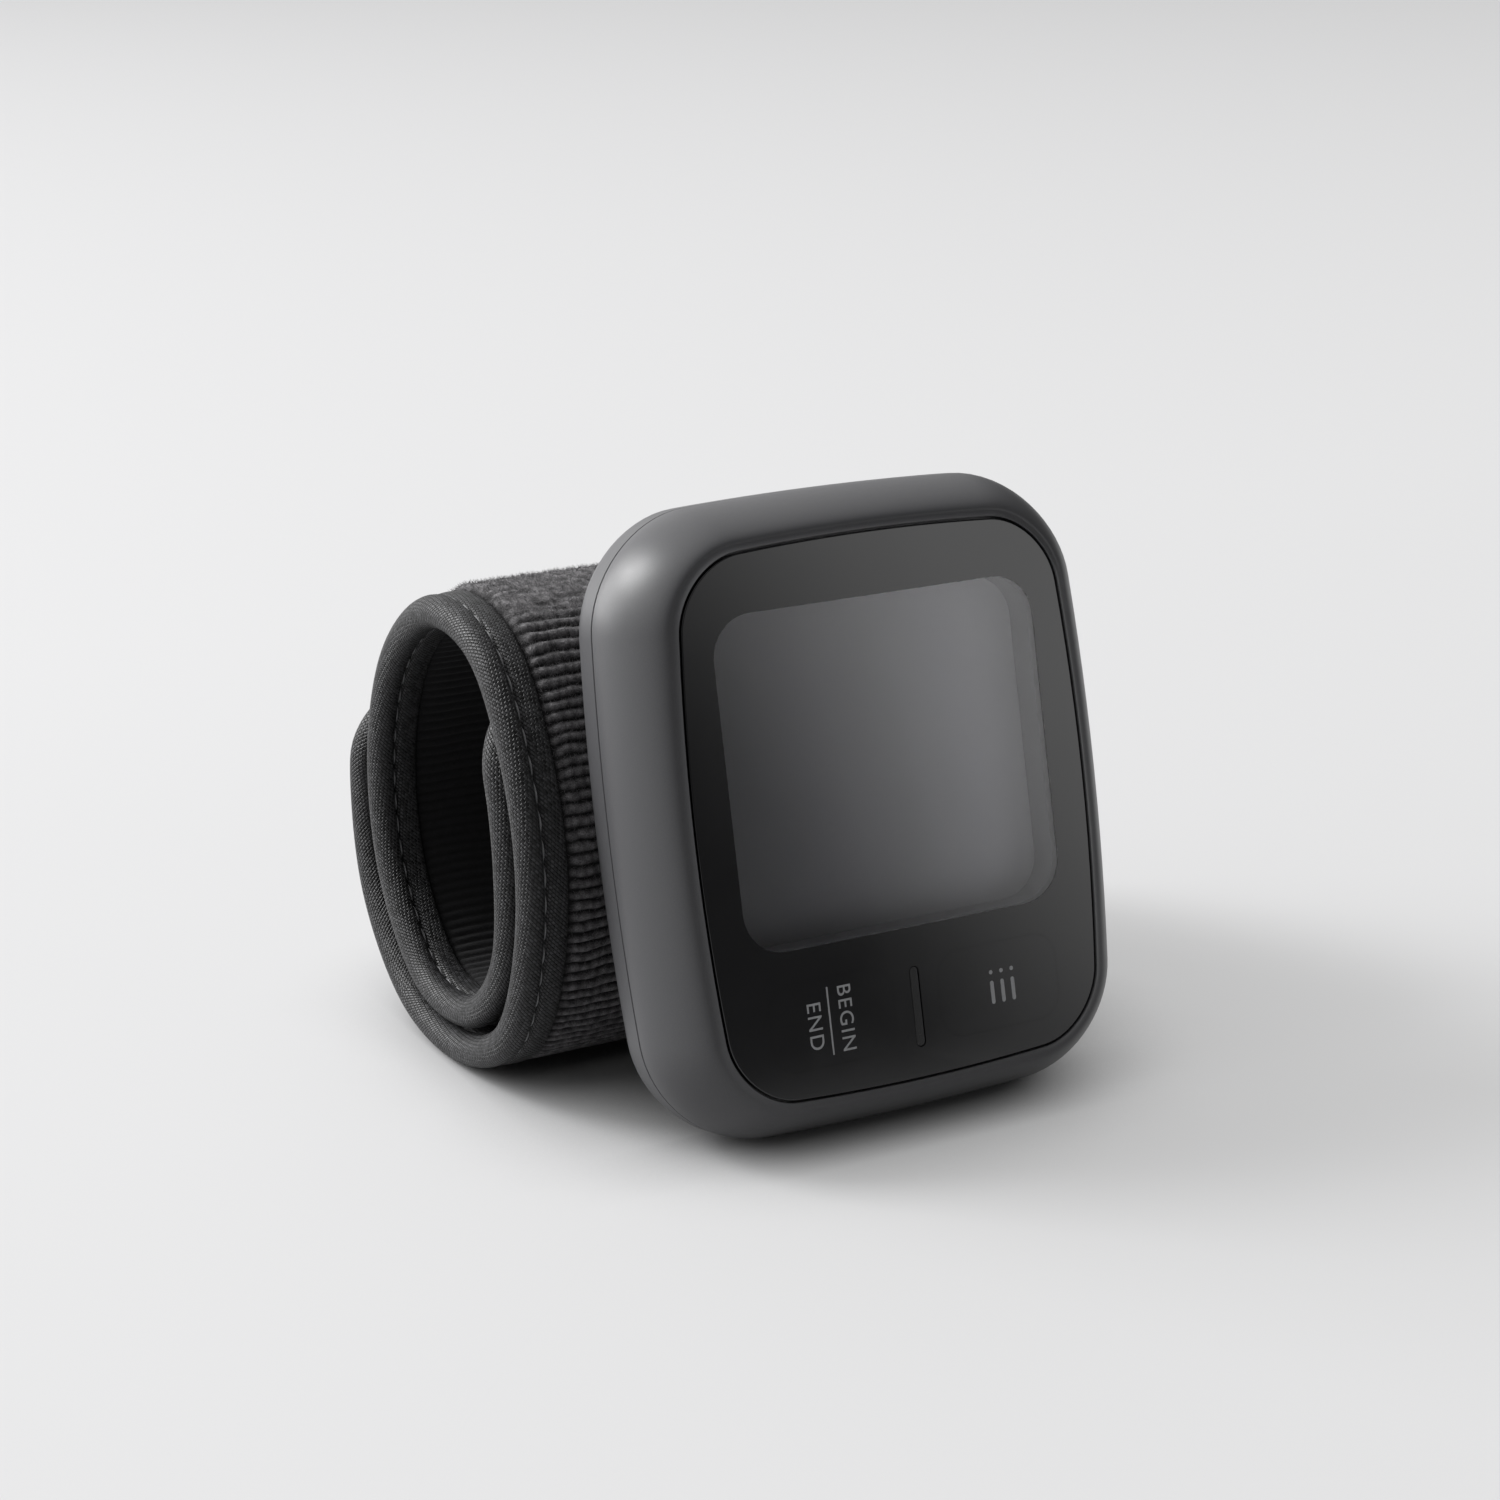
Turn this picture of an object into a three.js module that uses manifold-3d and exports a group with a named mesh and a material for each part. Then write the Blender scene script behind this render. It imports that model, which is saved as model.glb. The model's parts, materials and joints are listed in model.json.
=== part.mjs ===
// Wrist blood pressure monitor: a slim head with a display, standing on its coiled wrist cuff.
// All sizes are millimetres. In the device group X runs across the face, Y runs from the face
// into the head and Z runs up the face. The device leans back as it stands on a table.
import * as THREE from 'three';
import { mergeVertices } from 'three/addons/utils/BufferGeometryUtils.js';
import Module from 'manifold-3d';

const wasm = await Module();
wasm.setup();

// Face panel: a rounded rectangle whose four sides bow outwards a little.
const PANEL_HALF_WIDTH = 25.6;
const PANEL_HALF_HEIGHT = 31.5;
const PANEL_CORNER = 8;
const SIDE_BOW = 1.8;
const END_BOW = 1.1;
const CORNER_GROWTH = 0.9;

// Head shells: a thin lip, a flaring front, a straight side with the seam, and a rounded back.
const LIP = 0.95;
const FLARE_ACROSS = 5.7;
const FLARE_UP = 5;
const FLARE_DEPTH = 7.4;
const SEAM_SETBACK = 2;
const SEAM_GAP = 0.2;
const BACK_ROUND = 3.7;
const HEAD_DEPTH = 15.5;
const WALL = 1.7;
const LEAN_DEGREES = 13.6;

// Clearances: between seated pieces, round sliding pieces, and round the panel.
const SEAT = 0.25;
const SLIDE = 0.25;
const PANEL_GAP = 0.25;

// Face lens, its ledge in the front shell, and the display window.
const LENS_THICKNESS = 1.2;
const LEDGE_WIDTH = 2.2;
const LEDGE_THICKNESS = 1.2;
const WINDOW_HALF_WIDTH = 20.8;
const WINDOW_TOP = 24.1;
const WINDOW_BOTTOM = -13.9;
const WINDOW_CORNER = 5;
const FRAME_WALL = 1.1;
const LCD_THICKNESS = 1.4;
const LCD_CORNER = 5;
const LCD_OVERLAP = 0.7;
const BACKLIGHT_THICKNESS = 1;
const BACKLIGHT_MARGIN = 1.6;
const CONNECTOR_HEIGHT = 1.8;

// Keys: two caps flush with the lens, with a flange behind it and a stem over a switch.
const KEY_WIDTH = 16;
const KEY_HEIGHT = 10;
const KEY_CORNER = 3;
const KEY_X = 11;
const KEY_Z = -22.6;
const KEY_FLANGE = 0.7;
const KEY_FLANGE_THICKNESS = 0.5;
const KEY_TRAVEL = 0.4;
const KEY_STEM_RADIUS = 1.2;
const DIVIDER_WIDTH = 1.1;
const DIVIDER_LENGTH = 9.2;
const DIVIDER_Z = -23.1;
const DIVIDER_SINK = 0.1;
const MAT_THICKNESS = 0.35;
const MAT_MARGIN = 0.9;
const SWITCH_SIZE = 4.5;
const SWITCH_HEIGHT = 0.45;
const KEY_BOARD_THICKNESS = 0.6;

// Main board and what it carries.
const BOARD_EDGE = 1.9;
const BOARD_TOP = 23.6;
const BOARD_BOTTOM = -13.4;
const BOARD_THICKNESS = 1;
const CHIP_SIZE = 8;
const CHIP_HEIGHT = 1.1;
const CHIP_X = 3;
const CHIP_Z = -6;
const BATTERY_LEFT = -6.5;
const BATTERY_SIDE_GAP = 0.3;
const BATTERY_Z = [0.8, 23.2];
const BATTERY_THICKNESS = 2.95;
const BATTERY_PAD_THICKNESS = 0.9;
const BATTERY_PAD_MARGIN = 3;
const SOCKET_WIDTH = 7.4;
const SOCKET_HEIGHT = 2.6;
const SOCKET_LENGTH = 7.6;
const SOCKET_Z = -6;
const SOCKET_REAR_GAP = 0.2;
const SOCKET_WALL = 0.4;
const SOCKET_POCKET = 5;
const SOCKET_TONGUE = 0.6;
const SOCKET_FOOT = 3;

// Screws: four hold the shells together and two hold the main board.
const SHELL_SCREW_X = 22;
const SHELL_SCREW_Z = 26.3;
const SHELL_SCREW_LENGTH = 10;
const POST_GAP = 0.5;
const BOARD_SCREW_Z = 5;
const BOARD_SCREW_LENGTH = 5;
const BOSS_RADIUS = 2.1;
const SMALL_BOSS_RADIUS = 1.9;
const SCREW_RADIUS = 0.95;
const SCREW_HEAD_RADIUS = 1.8;
const SCREW_HEAD_HEIGHT = 0.9;
const SCREW_SLOT = 0.5;
const SCREW_CLEARANCE = 0.15;
const SCREW_SINK = 0.3;

// Air system: motor pump, release valve, pressure sensor, manifold and hoses.
const PUMP_Z = -23.5;
const PUMP_GAP = 0.375;
const MOTOR_X = [-8.3, 8.7];
const MOTOR_WALL = 0.6;
const SHAFT_RADIUS = 0.75;
const SHAFT_HOLE = 1;
const ARMATURE_GAP = 0.6;
const ARMATURE_CLEARANCE = 1.4;
const CAM_RADIUS = 1.4;
const CAM_THROW = 0.5;
const CAM_LENGTH = 2;
const PUMP_HEAD_LENGTH = 10.6;
const PUMP_CHAMBER_WALL = 1.4;
const PUMP_CHAMBER_DEPTH = 4.5;
const VALVE_X = [11, 19.6];
const VALVE_STEP = 0.4;
const VALVE_WALL = 0.8;
const PLUNGER_GAP = 0.3;
const PLUNGER_SPRING_ROOM = 1.9;
const PLUNGER_TRAVEL = 0.8;
const PLUNGER_ROD_RADIUS = 0.7;
const PLUNGER_ROD_LENGTH = 2.4;
const NIPPLE_RADIUS = 0.8;
const NIPPLE_LENGTH = 2.4;
const HOSE_RADIUS = 1.25;
const NOZZLE_X = -14;
const MANIFOLD_HALF_WIDTH = 4.6;
const MANIFOLD_HALF_HEIGHT = 4.6;
const MANIFOLD_DEPTH = 3.4;
const PORT_SPREAD = 2.5;
const SENSOR_SIZE = 7;
const SENSOR_HEIGHT = 3.2;
const SENSOR_Z = 17;
const NOZZLE_RADIUS = 2;
const NOZZLE_BORE = 1;
const NOZZLE_FLANGE_RADIUS = 3.2;
const NOZZLE_REACH = 1.6;
const SEAL_RADIUS = 3.3;
const SEAL_THICKNESS = 0.8;

// Cuff: one strap coiled on itself. Strap places are given along it, across it and outwards.
const STRAP_OFFSET = -1;
const STRAP_WIDTH = 76.8;
const ROLL_HALF = 2;
const BINDING_WIDTH = 2.6;
const STRAP_CORNER = 9;
const TAIL_LENGTH = 34.3;
const FOLD_GAP = 0.5;
const LAYER_GAP = 0.25;
const COVER_THICKNESS = 0.9;
const FORMER_THICKNESS = 0.6;
const BLADDER_THICKNESS = 0.7;
const LINING_THICKNESS = 0.65;
const FORMER_REACH = 32;
const FORMER_HALF_WIDTH = 27;
const BLADDER_BEFORE = 62;
const BLADDER_AFTER = 40;
const BLADDER_HALF_WIDTH = 28;
const PEG_X = 22;
const PEG_RADIUS = 1.5;
const PEG_BITE = 1.2;
const HOOK_THICKNESS = 0.4;
const HOOK_MARGIN = 2;
const HOOK_LENGTH = 18;
const STRAP_STEP = 4.2;

// Mid-line of the coiled strap, from its inner end to its free end: distance behind the line
// where it touches the head, and height. The points are chosen by hand along the coil.
const COIL_POINTS = [
  [9.4, 18.2], [6.6, 10.6], [6.4, -1], [10.9, -14.4], [22.2, -21.2], [35.8, -18.6], [43.4, -6],
  [42.2, 9], [33.2, 21.6], [19.2, 26.9], [6, 21.6], [0.1, 5], [2.6, -10],
  [12.2, -22.8], [26.4, -26.2], [41.4, -21.4], [49.8, -9], [49.4, 5], [43.5, 17.8],
];

const ROUND = 16;
const FINE_ROUND = 12;
const HOSE_SIDES = 8;
const CORNER_STEPS = 5;
const ROLL_STEPS = 6;
const SIDE_STEPS = 4;

// Geometry helpers.

// Closed mesh from any geometry: shared points merged, flat triangles dropped, faces outwards.
function closed(geometry) {
  const bare = geometry.clone();
  for (const key of Object.keys(bare.attributes)) {
    if (key !== 'position') bare.deleteAttribute(key);
  }
  const merged = mergeVertices(bare, 1e-5);
  const position = merged.attributes.position;
  const [a, b, c] = [new THREE.Vector3(), new THREE.Vector3(), new THREE.Vector3()];
  const triangles = [];
  let volume = 0;
  for (let i = 0; i < merged.index.count; i += 3) {
    const corners = [0, 1, 2].map((k) => merged.index.getX(i + k));
    if (new Set(corners).size < 3) continue;
    triangles.push(corners);
    a.fromBufferAttribute(position, corners[0]);
    b.fromBufferAttribute(position, corners[1]);
    c.fromBufferAttribute(position, corners[2]);
    volume += a.dot(b.cross(c));
  }
  merged.setIndex(triangles.flatMap(([p, q, r]) => (volume > 0 ? [p, q, r] : [p, r, q])));
  return merged;
}

function solid(geometry) {
  const mesh = closed(geometry);
  const vertProperties = new Float32Array(mesh.attributes.position.array);
  const triVerts = new Uint32Array(mesh.index.array);
  return new wasm.Manifold(new wasm.Mesh({ numProp: 3, vertProperties, triVerts }));
}

// Solid geometry with other geometries joined to it and then others cut from it. Where an outer
// limit is given, what is joined stays inside it.
function shaped(base, joins, cuts, limit = null) {
  let body = solid(base);
  for (const join of joins) body = body.add(solid(join));
  if (limit) body = body.intersect(solid(limit));
  for (const cut of cuts) body = body.subtract(solid(cut));
  const mesh = body.getMesh();
  const geometry = new THREE.BufferGeometry();
  geometry.setAttribute('position', new THREE.Float32BufferAttribute(mesh.vertProperties, 3));
  geometry.setIndex(Array.from(mesh.triVerts));
  return geometry;
}

// Skin over a stack of rings with equal point counts, closed by a flat cap at each end.
function loft(rings, capOutline) {
  const count = rings[0].length;
  const caps = THREE.ShapeUtils.triangulateShape(capOutline, []);
  const last = (rings.length - 1) * count;
  const index = [];
  for (let r = 0; r < rings.length - 1; r += 1) {
    for (let i = 0; i < count; i += 1) {
      const j = (i + 1) % count;
      const [p, q] = [r * count + i, r * count + j];
      index.push(p, q, q + count, p, q + count, p + count);
    }
  }
  for (const [p, q, r] of caps) index.push(r, q, p, last + p, last + q, last + r);
  const geometry = new THREE.BufferGeometry();
  const flat = rings.flat().flatMap((point) => [point.x, point.y, point.z]);
  geometry.setAttribute('position', new THREE.Float32BufferAttribute(flat, 3));
  geometry.setIndex(index);
  return geometry;
}

// Rounded rectangle round a centre, as points across (x) and up (y), with optional bowed sides.
function roundedOutline(halfWidth, halfHeight, corner, centre = [0, 0], bow = [0, 0]) {
  const arcs = [[1, 1], [-1, 1], [-1, -1], [1, -1]];
  const raw = [];
  arcs.forEach(([sx, sy], turn) => {
    for (let k = 0; k <= CORNER_STEPS; k += 1) {
      const angle = (turn + k / CORNER_STEPS) * Math.PI / 2;
      const x = sx * (halfWidth - corner) + corner * Math.cos(angle);
      raw.push([x, sy * (halfHeight - corner) + corner * Math.sin(angle)]);
    }
    const [nx, ny] = arcs[(turn + 1) % arcs.length];
    const next = (turn + 1) * Math.PI / 2;
    const end = [nx * (halfWidth - corner) + corner * Math.cos(next),
      ny * (halfHeight - corner) + corner * Math.sin(next)];
    const start = raw[raw.length - 1];
    for (let k = 1; k < SIDE_STEPS; k += 1) {
      const t = k / SIDE_STEPS;
      raw.push([start[0] + (end[0] - start[0]) * t, start[1] + (end[1] - start[1]) * t]);
    }
  });
  return raw.map(([x, y]) => {
    const [u, v] = [x / halfWidth, y / halfHeight];
    return new THREE.Vector2(
      centre[0] + x - bow[0] * v * v * u,
      centre[1] + y - bow[1] * u * u * v,
    );
  });
}

function ringAt(outline, depth) {
  return outline.map((point) => new THREE.Vector3(point.x, depth, point.y));
}

// Straight piece with one outline, from one depth to another.
function prism(outline, front, back) {
  return loft([ringAt(outline, front), ringAt(outline, back)], outline);
}

// Outline of the head's section, grown outwards from the panel's edge.
function headOutline(growAcross, growUp) {
  const corner = PANEL_CORNER + CORNER_GROWTH * (growAcross + growUp) / 2;
  const halves = [PANEL_HALF_WIDTH + growAcross, PANEL_HALF_HEIGHT + growUp];
  return roundedOutline(halves[0], halves[1], corner, [0, 0], [SIDE_BOW, END_BOW]);
}

// Skin through head sections, each given as depth and growth across and up.
function headLoft(stations) {
  const rings = stations.map(([depth, across, up]) => ringAt(headOutline(across, up), depth));
  return loft(rings, headOutline(0, 0));
}

function box([x0, x1], [y0, y1], [z0, z1]) {
  const geometry = new THREE.BoxGeometry(x1 - x0, y1 - y0, z1 - z0);
  return geometry.translate((x0 + x1) / 2, (y0 + y1) / 2, (z0 + z1) / 2);
}

// Round bar along one axis. The place is given on the other two axes, in X, Y, Z order.
function rod(axis, radius, [from, to], [a, b], sides = ROUND) {
  const geometry = new THREE.CylinderGeometry(radius, radius, to - from, sides);
  const middle = (from + to) / 2;
  if (axis === 'x') return geometry.rotateZ(-Math.PI / 2).translate(middle, a, b);
  if (axis === 'y') return geometry.translate(a, middle, b);
  return geometry.rotateX(Math.PI / 2).translate(a, b, middle);
}

// Turned piece along Y from a profile of radius and depth pairs.
function turned(profile, sides = ROUND) {
  return new THREE.LatheGeometry(profile.map(([r, d]) => new THREE.Vector2(r, d)), sides);
}

// Hose along hand-chosen points, with its bore.
function hose(points) {
  const path = new THREE.CatmullRomCurve3(points.map(([x, y, z]) => new THREE.Vector3(x, y, z)));
  const section = new THREE.Shape();
  const bore = new THREE.Path();
  for (let i = 0; i < HOSE_SIDES; i += 1) {
    const angle = i * 2 * Math.PI / HOSE_SIDES;
    const [c, s] = [Math.cos(angle), Math.sin(angle)];
    const inner = NIPPLE_RADIUS + (HOSE_RADIUS - NIPPLE_RADIUS) / 3;
    if (i === 0) {
      section.moveTo(HOSE_RADIUS * c, HOSE_RADIUS * s);
      bore.moveTo(inner * c, inner * s);
    } else {
      section.lineTo(HOSE_RADIUS * c, HOSE_RADIUS * s);
      bore.lineTo(inner * c, inner * s);
    }
  }
  section.closePath();
  bore.closePath();
  section.holes.push(bore);
  const steps = Math.max(2, Math.round(path.getLength() / (2 * HOSE_RADIUS)));
  return new THREE.ExtrudeGeometry(section, { steps, extrudePath: path, bevelEnabled: false });
}

const device = new THREE.Group();
device.rotation.x = -LEAN_DEGREES * Math.PI / 180;

function piece(name, geometry, color, roughness, metalness = 0) {
  const material = new THREE.MeshStandardMaterial({ color, roughness, metalness });
  const mesh = new THREE.Mesh(closed(geometry), material);
  mesh.name = name;
  device.add(mesh);
}

// Depths behind the face. The battery, board and display are stacked forwards from the rear
// wall, and the display frame fills what is left up to the lens.
const BEHIND = 4 * HEAD_DEPTH;
const sideDepth = HEAD_DEPTH - BACK_ROUND;
const seamDepth = sideDepth - SEAM_SETBACK;
const ledgeFront = LENS_THICKNESS + SEAT;
const ledgeBack = ledgeFront + LEDGE_THICKNESS;
const rearInside = HEAD_DEPTH - WALL;
const rearSeat = rearInside - SEAT;
const batteryFront = rearSeat - BATTERY_THICKNESS;
const padBack = batteryFront - SEAT;
const padFront = padBack - BATTERY_PAD_THICKNESS;
const boardBack = padFront - SEAT;
const boardFront = boardBack - BOARD_THICKNESS;
const backlightBack = boardFront - SEAT;
const backlightFront = backlightBack - BACKLIGHT_THICKNESS;
const lcdBack = backlightFront - SEAT;
const lcdFront = lcdBack - LCD_THICKNESS;
const frameFront = ledgeFront;
const frameBack = lcdFront - SEAT;
const socketFront = rearInside - SOCKET_REAR_GAP - SOCKET_HEIGHT;
const flangeFront = LENS_THICKNESS + SLIDE;
const flangeBack = flangeFront + KEY_FLANGE_THICKNESS;
const matFront = flangeBack + KEY_TRAVEL + SLIDE / 2;
const matBack = matFront + MAT_THICKNESS;
const switchFront = matBack + SEAT;
const stemBack = switchFront - KEY_TRAVEL - SLIDE / 2;
const switchBack = switchFront + SWITCH_HEIGHT;
const keyBoardFront = switchBack + SEAT;
const keyBoardBack = keyBoardFront + KEY_BOARD_THICKNESS;

const shellScrews = [[-1, 1], [1, 1], [-1, -1], [1, -1]].map(
  ([sx, sz]) => [sx * SHELL_SCREW_X, sz * SHELL_SCREW_Z],
);
const boardScrewX = WINDOW_HALF_WIDTH + FRAME_WALL + POST_GAP + SMALL_BOSS_RADIUS;
const boardScrews = [-1, 1].map((side) => [side * boardScrewX, BOARD_SCREW_Z]);
const boardHalfWidth = boardScrewX + BOARD_EDGE;
const batteryX = [BATTERY_LEFT, boardScrewX - BATTERY_SIDE_GAP];
const screwSeat = HEAD_DEPTH - SCREW_SINK - SCREW_HEAD_HEIGHT;
const screwBore = SCREW_RADIUS + SCREW_CLEARANCE;

// The strap's path, set so that its front pass lies against the back of the head.
const coilShape = new THREE.CatmullRomCurve3(
  COIL_POINTS.map(([behind, up]) => new THREE.Vector3(0, behind, up)), false, 'centripetal',
);
coilShape.arcLengthDivisions = 1200;
const PATH_SAMPLES = 600;
const shapeSamples = coilShape.getSpacedPoints(PATH_SAMPLES);
const nearest = shapeSamples.reduce((best, p, i) => (p.y < shapeSamples[best].y ? i : best), 0);
const strapFront = HEAD_DEPTH + SEAT + ROLL_HALF - shapeSamples[nearest].y;
const strapLength = coilShape.getLength();
const strapAtHead = nearest / PATH_SAMPLES * strapLength;
const strapHeadZ = shapeSamples[nearest].z;
const strapFold = strapLength - TAIL_LENGTH;

// Point of the strap: distance along it, place across the device, and height out of the sheet.
function strapPoint(along, across, out) {
  const held = THREE.MathUtils.clamp(along, 0, strapLength);
  const point = coilShape.getPointAt(held / strapLength);
  const way = coilShape.getTangentAt(held / strapLength);
  return new THREE.Vector3(
    across,
    strapFront + point.y + way.y * (along - held) + way.z * out,
    point.z + way.z * (along - held) - way.y * out,
  );
}

// Least distance between two passes of the strap's mid-line, for the printed gap.
function leastPassGap() {
  const spacing = strapLength / PATH_SAMPLES;
  const apart = Math.ceil(8 * ROLL_HALF / spacing);
  let least = Infinity;
  shapeSamples.forEach((p, i) => {
    for (let j = i + apart; j < shapeSamples.length; j += 1) {
      least = Math.min(least, p.distanceTo(shapeSamples[j]));
    }
  });
  return least - 2 * ROLL_HALF;
}

const rollCentre = STRAP_WIDTH / 2 - ROLL_HALF;
const sheetHalf = rollCentre - BINDING_WIDTH - LAYER_GAP;
const sheetCorner = STRAP_CORNER - BINDING_WIDTH - LAYER_GAP;
const sheetInset = ROLL_HALF + BINDING_WIDTH + LAYER_GAP;

// Places along a stretch of strap where its sections stand, with their half widths.
function stretchStations(from, to, half, roundedEnd) {
  const count = Math.max(2, Math.ceil(Math.abs(to - from) / STRAP_STEP));
  const stations = [];
  for (let k = 0; k <= count; k += 1) stations.push([from + (to - from) * k / count, half]);
  if (!roundedEnd) return stations;
  const inward = Math.sign(to - from);
  const kept = stations.filter(([along]) => Math.abs(along - from) > sheetCorner);
  const corner = [];
  for (let k = 0; k <= CORNER_STEPS; k += 1) {
    const angle = k / CORNER_STEPS * Math.PI / 2;
    const along = from + inward * sheetCorner * (1 - Math.cos(angle));
    corner.push([along, half - sheetCorner * (1 - Math.sin(angle))]);
  }
  return corner.concat(kept);
}

// One cloth or film layer of the strap, between two heights out of the sheet.
function layer(stations, inner, outer) {
  const rings = stations.map(([along, half]) => [
    strapPoint(along, STRAP_OFFSET - half, inner),
    strapPoint(along, STRAP_OFFSET + half, inner),
    strapPoint(along, STRAP_OFFSET + half, outer),
    strapPoint(along, STRAP_OFFSET - half, outer),
  ]);
  const square = [[-1, -1], [1, -1], [1, 1], [-1, 1]].map(([x, y]) => new THREE.Vector2(x, y));
  return loft(rings, square);
}

// Rolled edge binding round one end of the strap, from the fold line round the end and back.
function binding(end, fold) {
  const inward = Math.sign(fold - end);
  const endLine = end + inward * ROLL_HALF;
  const cornerLine = endLine + inward * STRAP_CORNER;
  const sideCount = Math.ceil(Math.abs(fold - cornerLine) / STRAP_STEP);
  const half = [];
  for (let k = 0; k < sideCount; k += 1) {
    half.push([fold + (cornerLine - fold) * k / sideCount, rollCentre, 0, 1]);
  }
  for (let k = 0; k <= CORNER_STEPS; k += 1) {
    const angle = k / CORNER_STEPS * Math.PI / 2;
    const [c, s] = [Math.cos(angle), Math.sin(angle)];
    const along = cornerLine - inward * STRAP_CORNER * s;
    half.push([along, rollCentre - STRAP_CORNER * (1 - c), -inward * s, c]);
  }
  const mirrored = half.map(([along, across, da, dx]) => [along, -across, da, -dx]).reverse();
  const section = [new THREE.Vector2(-BINDING_WIDTH, -ROLL_HALF)];
  for (let k = 0; k <= ROLL_STEPS; k += 1) {
    const angle = (k / ROLL_STEPS - 0.5) * Math.PI;
    section.push(new THREE.Vector2(ROLL_HALF * Math.cos(angle), ROLL_HALF * Math.sin(angle)));
  }
  section.push(new THREE.Vector2(-BINDING_WIDTH, ROLL_HALF));
  const rings = half.concat(mirrored).map(([along, across, da, dx]) => section.map((p) => (
    strapPoint(along + da * p.x, STRAP_OFFSET + across + dx * p.x, p.y)
  )));
  return loft(rings, section);
}

// Heights of the strap's layers, from the loop cover outside to the lining against the wrist.
const coverOuter = ROLL_HALF - LAYER_GAP / 2;
const coverInner = coverOuter - COVER_THICKNESS;
const formerOuter = coverInner - LAYER_GAP;
const formerInner = formerOuter - FORMER_THICKNESS;
const bladderOuter = formerInner - LAYER_GAP;
const bladderInner = bladderOuter - BLADDER_THICKNESS;
const liningOuter = bladderInner - LAYER_GAP;
const liningInner = liningOuter - LINING_THICKNESS;
const hookOuter = liningInner - LAYER_GAP;
const strapFrontLine = HEAD_DEPTH + SEAT + ROLL_HALF;

// Head shells.

// Foot inside the ledge that ties a board post to the shell's side.
function postFoot([x, z]) {
  const edge = Math.sign(x) * PANEL_HALF_WIDTH;
  const inset = LEDGE_THICKNESS / 4;
  const half = SMALL_BOSS_RADIUS / 2;
  return box([Math.min(x, edge), Math.max(x, edge)], [ledgeFront + inset, ledgeBack - inset],
    [z - half, z + half]);
}

function frontShell() {
  const outside = headLoft([
    [0, LIP, LIP], [FLARE_DEPTH, FLARE_ACROSS, FLARE_UP], [seamDepth, FLARE_ACROSS, FLARE_UP],
  ]);
  const slope = (ledgeBack / FLARE_DEPTH);
  const cavity = headLoft([
    [ledgeBack, LIP + (FLARE_ACROSS - LIP) * slope - WALL, LIP + (FLARE_UP - LIP) * slope - WALL],
    [FLARE_DEPTH, FLARE_ACROSS - WALL, FLARE_UP - WALL],
    [BEHIND, FLARE_ACROSS - WALL, FLARE_UP - WALL],
  ]);
  const pocket = prism(headOutline(0, 0), -HEAD_DEPTH, ledgeFront);
  const mouth = prism(headOutline(-LEDGE_WIDTH, -LEDGE_WIDTH), -HEAD_DEPTH, BEHIND);
  const shell = shaped(outside, [], [cavity, pocket, mouth]);
  const bosses = shellScrews.map((at) => rod('y', BOSS_RADIUS, [ledgeFront, seamDepth], at));
  const boardBossBack = boardFront - SEAT;
  const posts = boardScrews.map(
    (at) => rod('y', SMALL_BOSS_RADIUS, [ledgeFront, boardBossBack], at),
  );
  const feet = boardScrews.map(postFoot);
  const shellTip = screwSeat - SHELL_SCREW_LENGTH - SEAT;
  const boardTip = boardBack + SEAT - BOARD_SCREW_LENGTH - SEAT;
  const bores = shellScrews.map((at) => rod('y', screwBore, [shellTip, BEHIND], at, FINE_ROUND));
  const smallBores = boardScrews.map(
    (at) => rod('y', screwBore, [boardTip, BEHIND], at, FINE_ROUND),
  );
  const frameRoom = prism(windowOutline(FRAME_WALL + SEAT, WINDOW_CORNER + FRAME_WALL + SEAT),
    ledgeFront, boardFront);
  const cuts = [frameRoom, ...bores, ...smallBores];
  return shaped(shell, [...bosses, ...posts, ...feet], cuts, outside);
}

function rearShell() {
  const front = seamDepth + SEAM_GAP;
  const outside = [[front, FLARE_ACROSS, FLARE_UP]];
  const steps = 4;
  for (let k = 0; k <= steps; k += 1) {
    const angle = k / steps * Math.PI / 2;
    const pull = BACK_ROUND * (1 - Math.cos(angle));
    outside.push([sideDepth + BACK_ROUND * Math.sin(angle), FLARE_ACROSS - pull, FLARE_UP - pull]);
  }
  const inside = [-HEAD_DEPTH, sideDepth].map((d) => [d, FLARE_ACROSS - WALL, FLARE_UP - WALL]);
  inside.push([rearInside, FLARE_ACROSS - WALL - BACK_ROUND / 2, FLARE_UP - WALL - BACK_ROUND / 2]);
  const shell = shaped(headLoft(outside), [], [headLoft(inside)]);
  const bosses = shellScrews.map((at) => rod('y', BOSS_RADIUS, [front, screwSeat + WALL / 2], at));
  const cuts = [];
  for (const at of shellScrews) {
    cuts.push(rod('y', screwBore, [-HEAD_DEPTH, BEHIND], at, FINE_ROUND));
    cuts.push(rod('y', SCREW_HEAD_RADIUS + SLIDE, [screwSeat, BEHIND], at));
  }
  for (const side of [-1, 1]) {
    const at = [side * PEG_X, strapHeadZ];
    cuts.push(rod('y', PEG_RADIUS + SLIDE, [sideDepth, BEHIND], at, FINE_ROUND));
  }
  const nozzleAt = [NOZZLE_X, strapHeadZ];
  cuts.push(rod('y', NOZZLE_RADIUS + SLIDE, [sideDepth, BEHIND], nozzleAt));
  const sealSeat = HEAD_DEPTH - SEAL_THICKNESS - SEAT / 2;
  cuts.push(rod('y', SEAL_RADIUS + SLIDE, [sealSeat, BEHIND], nozzleAt));
  const reach = PANEL_HALF_WIDTH + 2 * FLARE_ACROSS;
  const socketOutline = [socketFront - SLIDE, socketFront + SOCKET_HEIGHT + SLIDE];
  const half = SOCKET_WIDTH / 2 + SLIDE;
  cuts.push(box([boardHalfWidth, reach], socketOutline, [SOCKET_Z - half, SOCKET_Z + half]));
  return shaped(shell, bosses, cuts);
}

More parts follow.
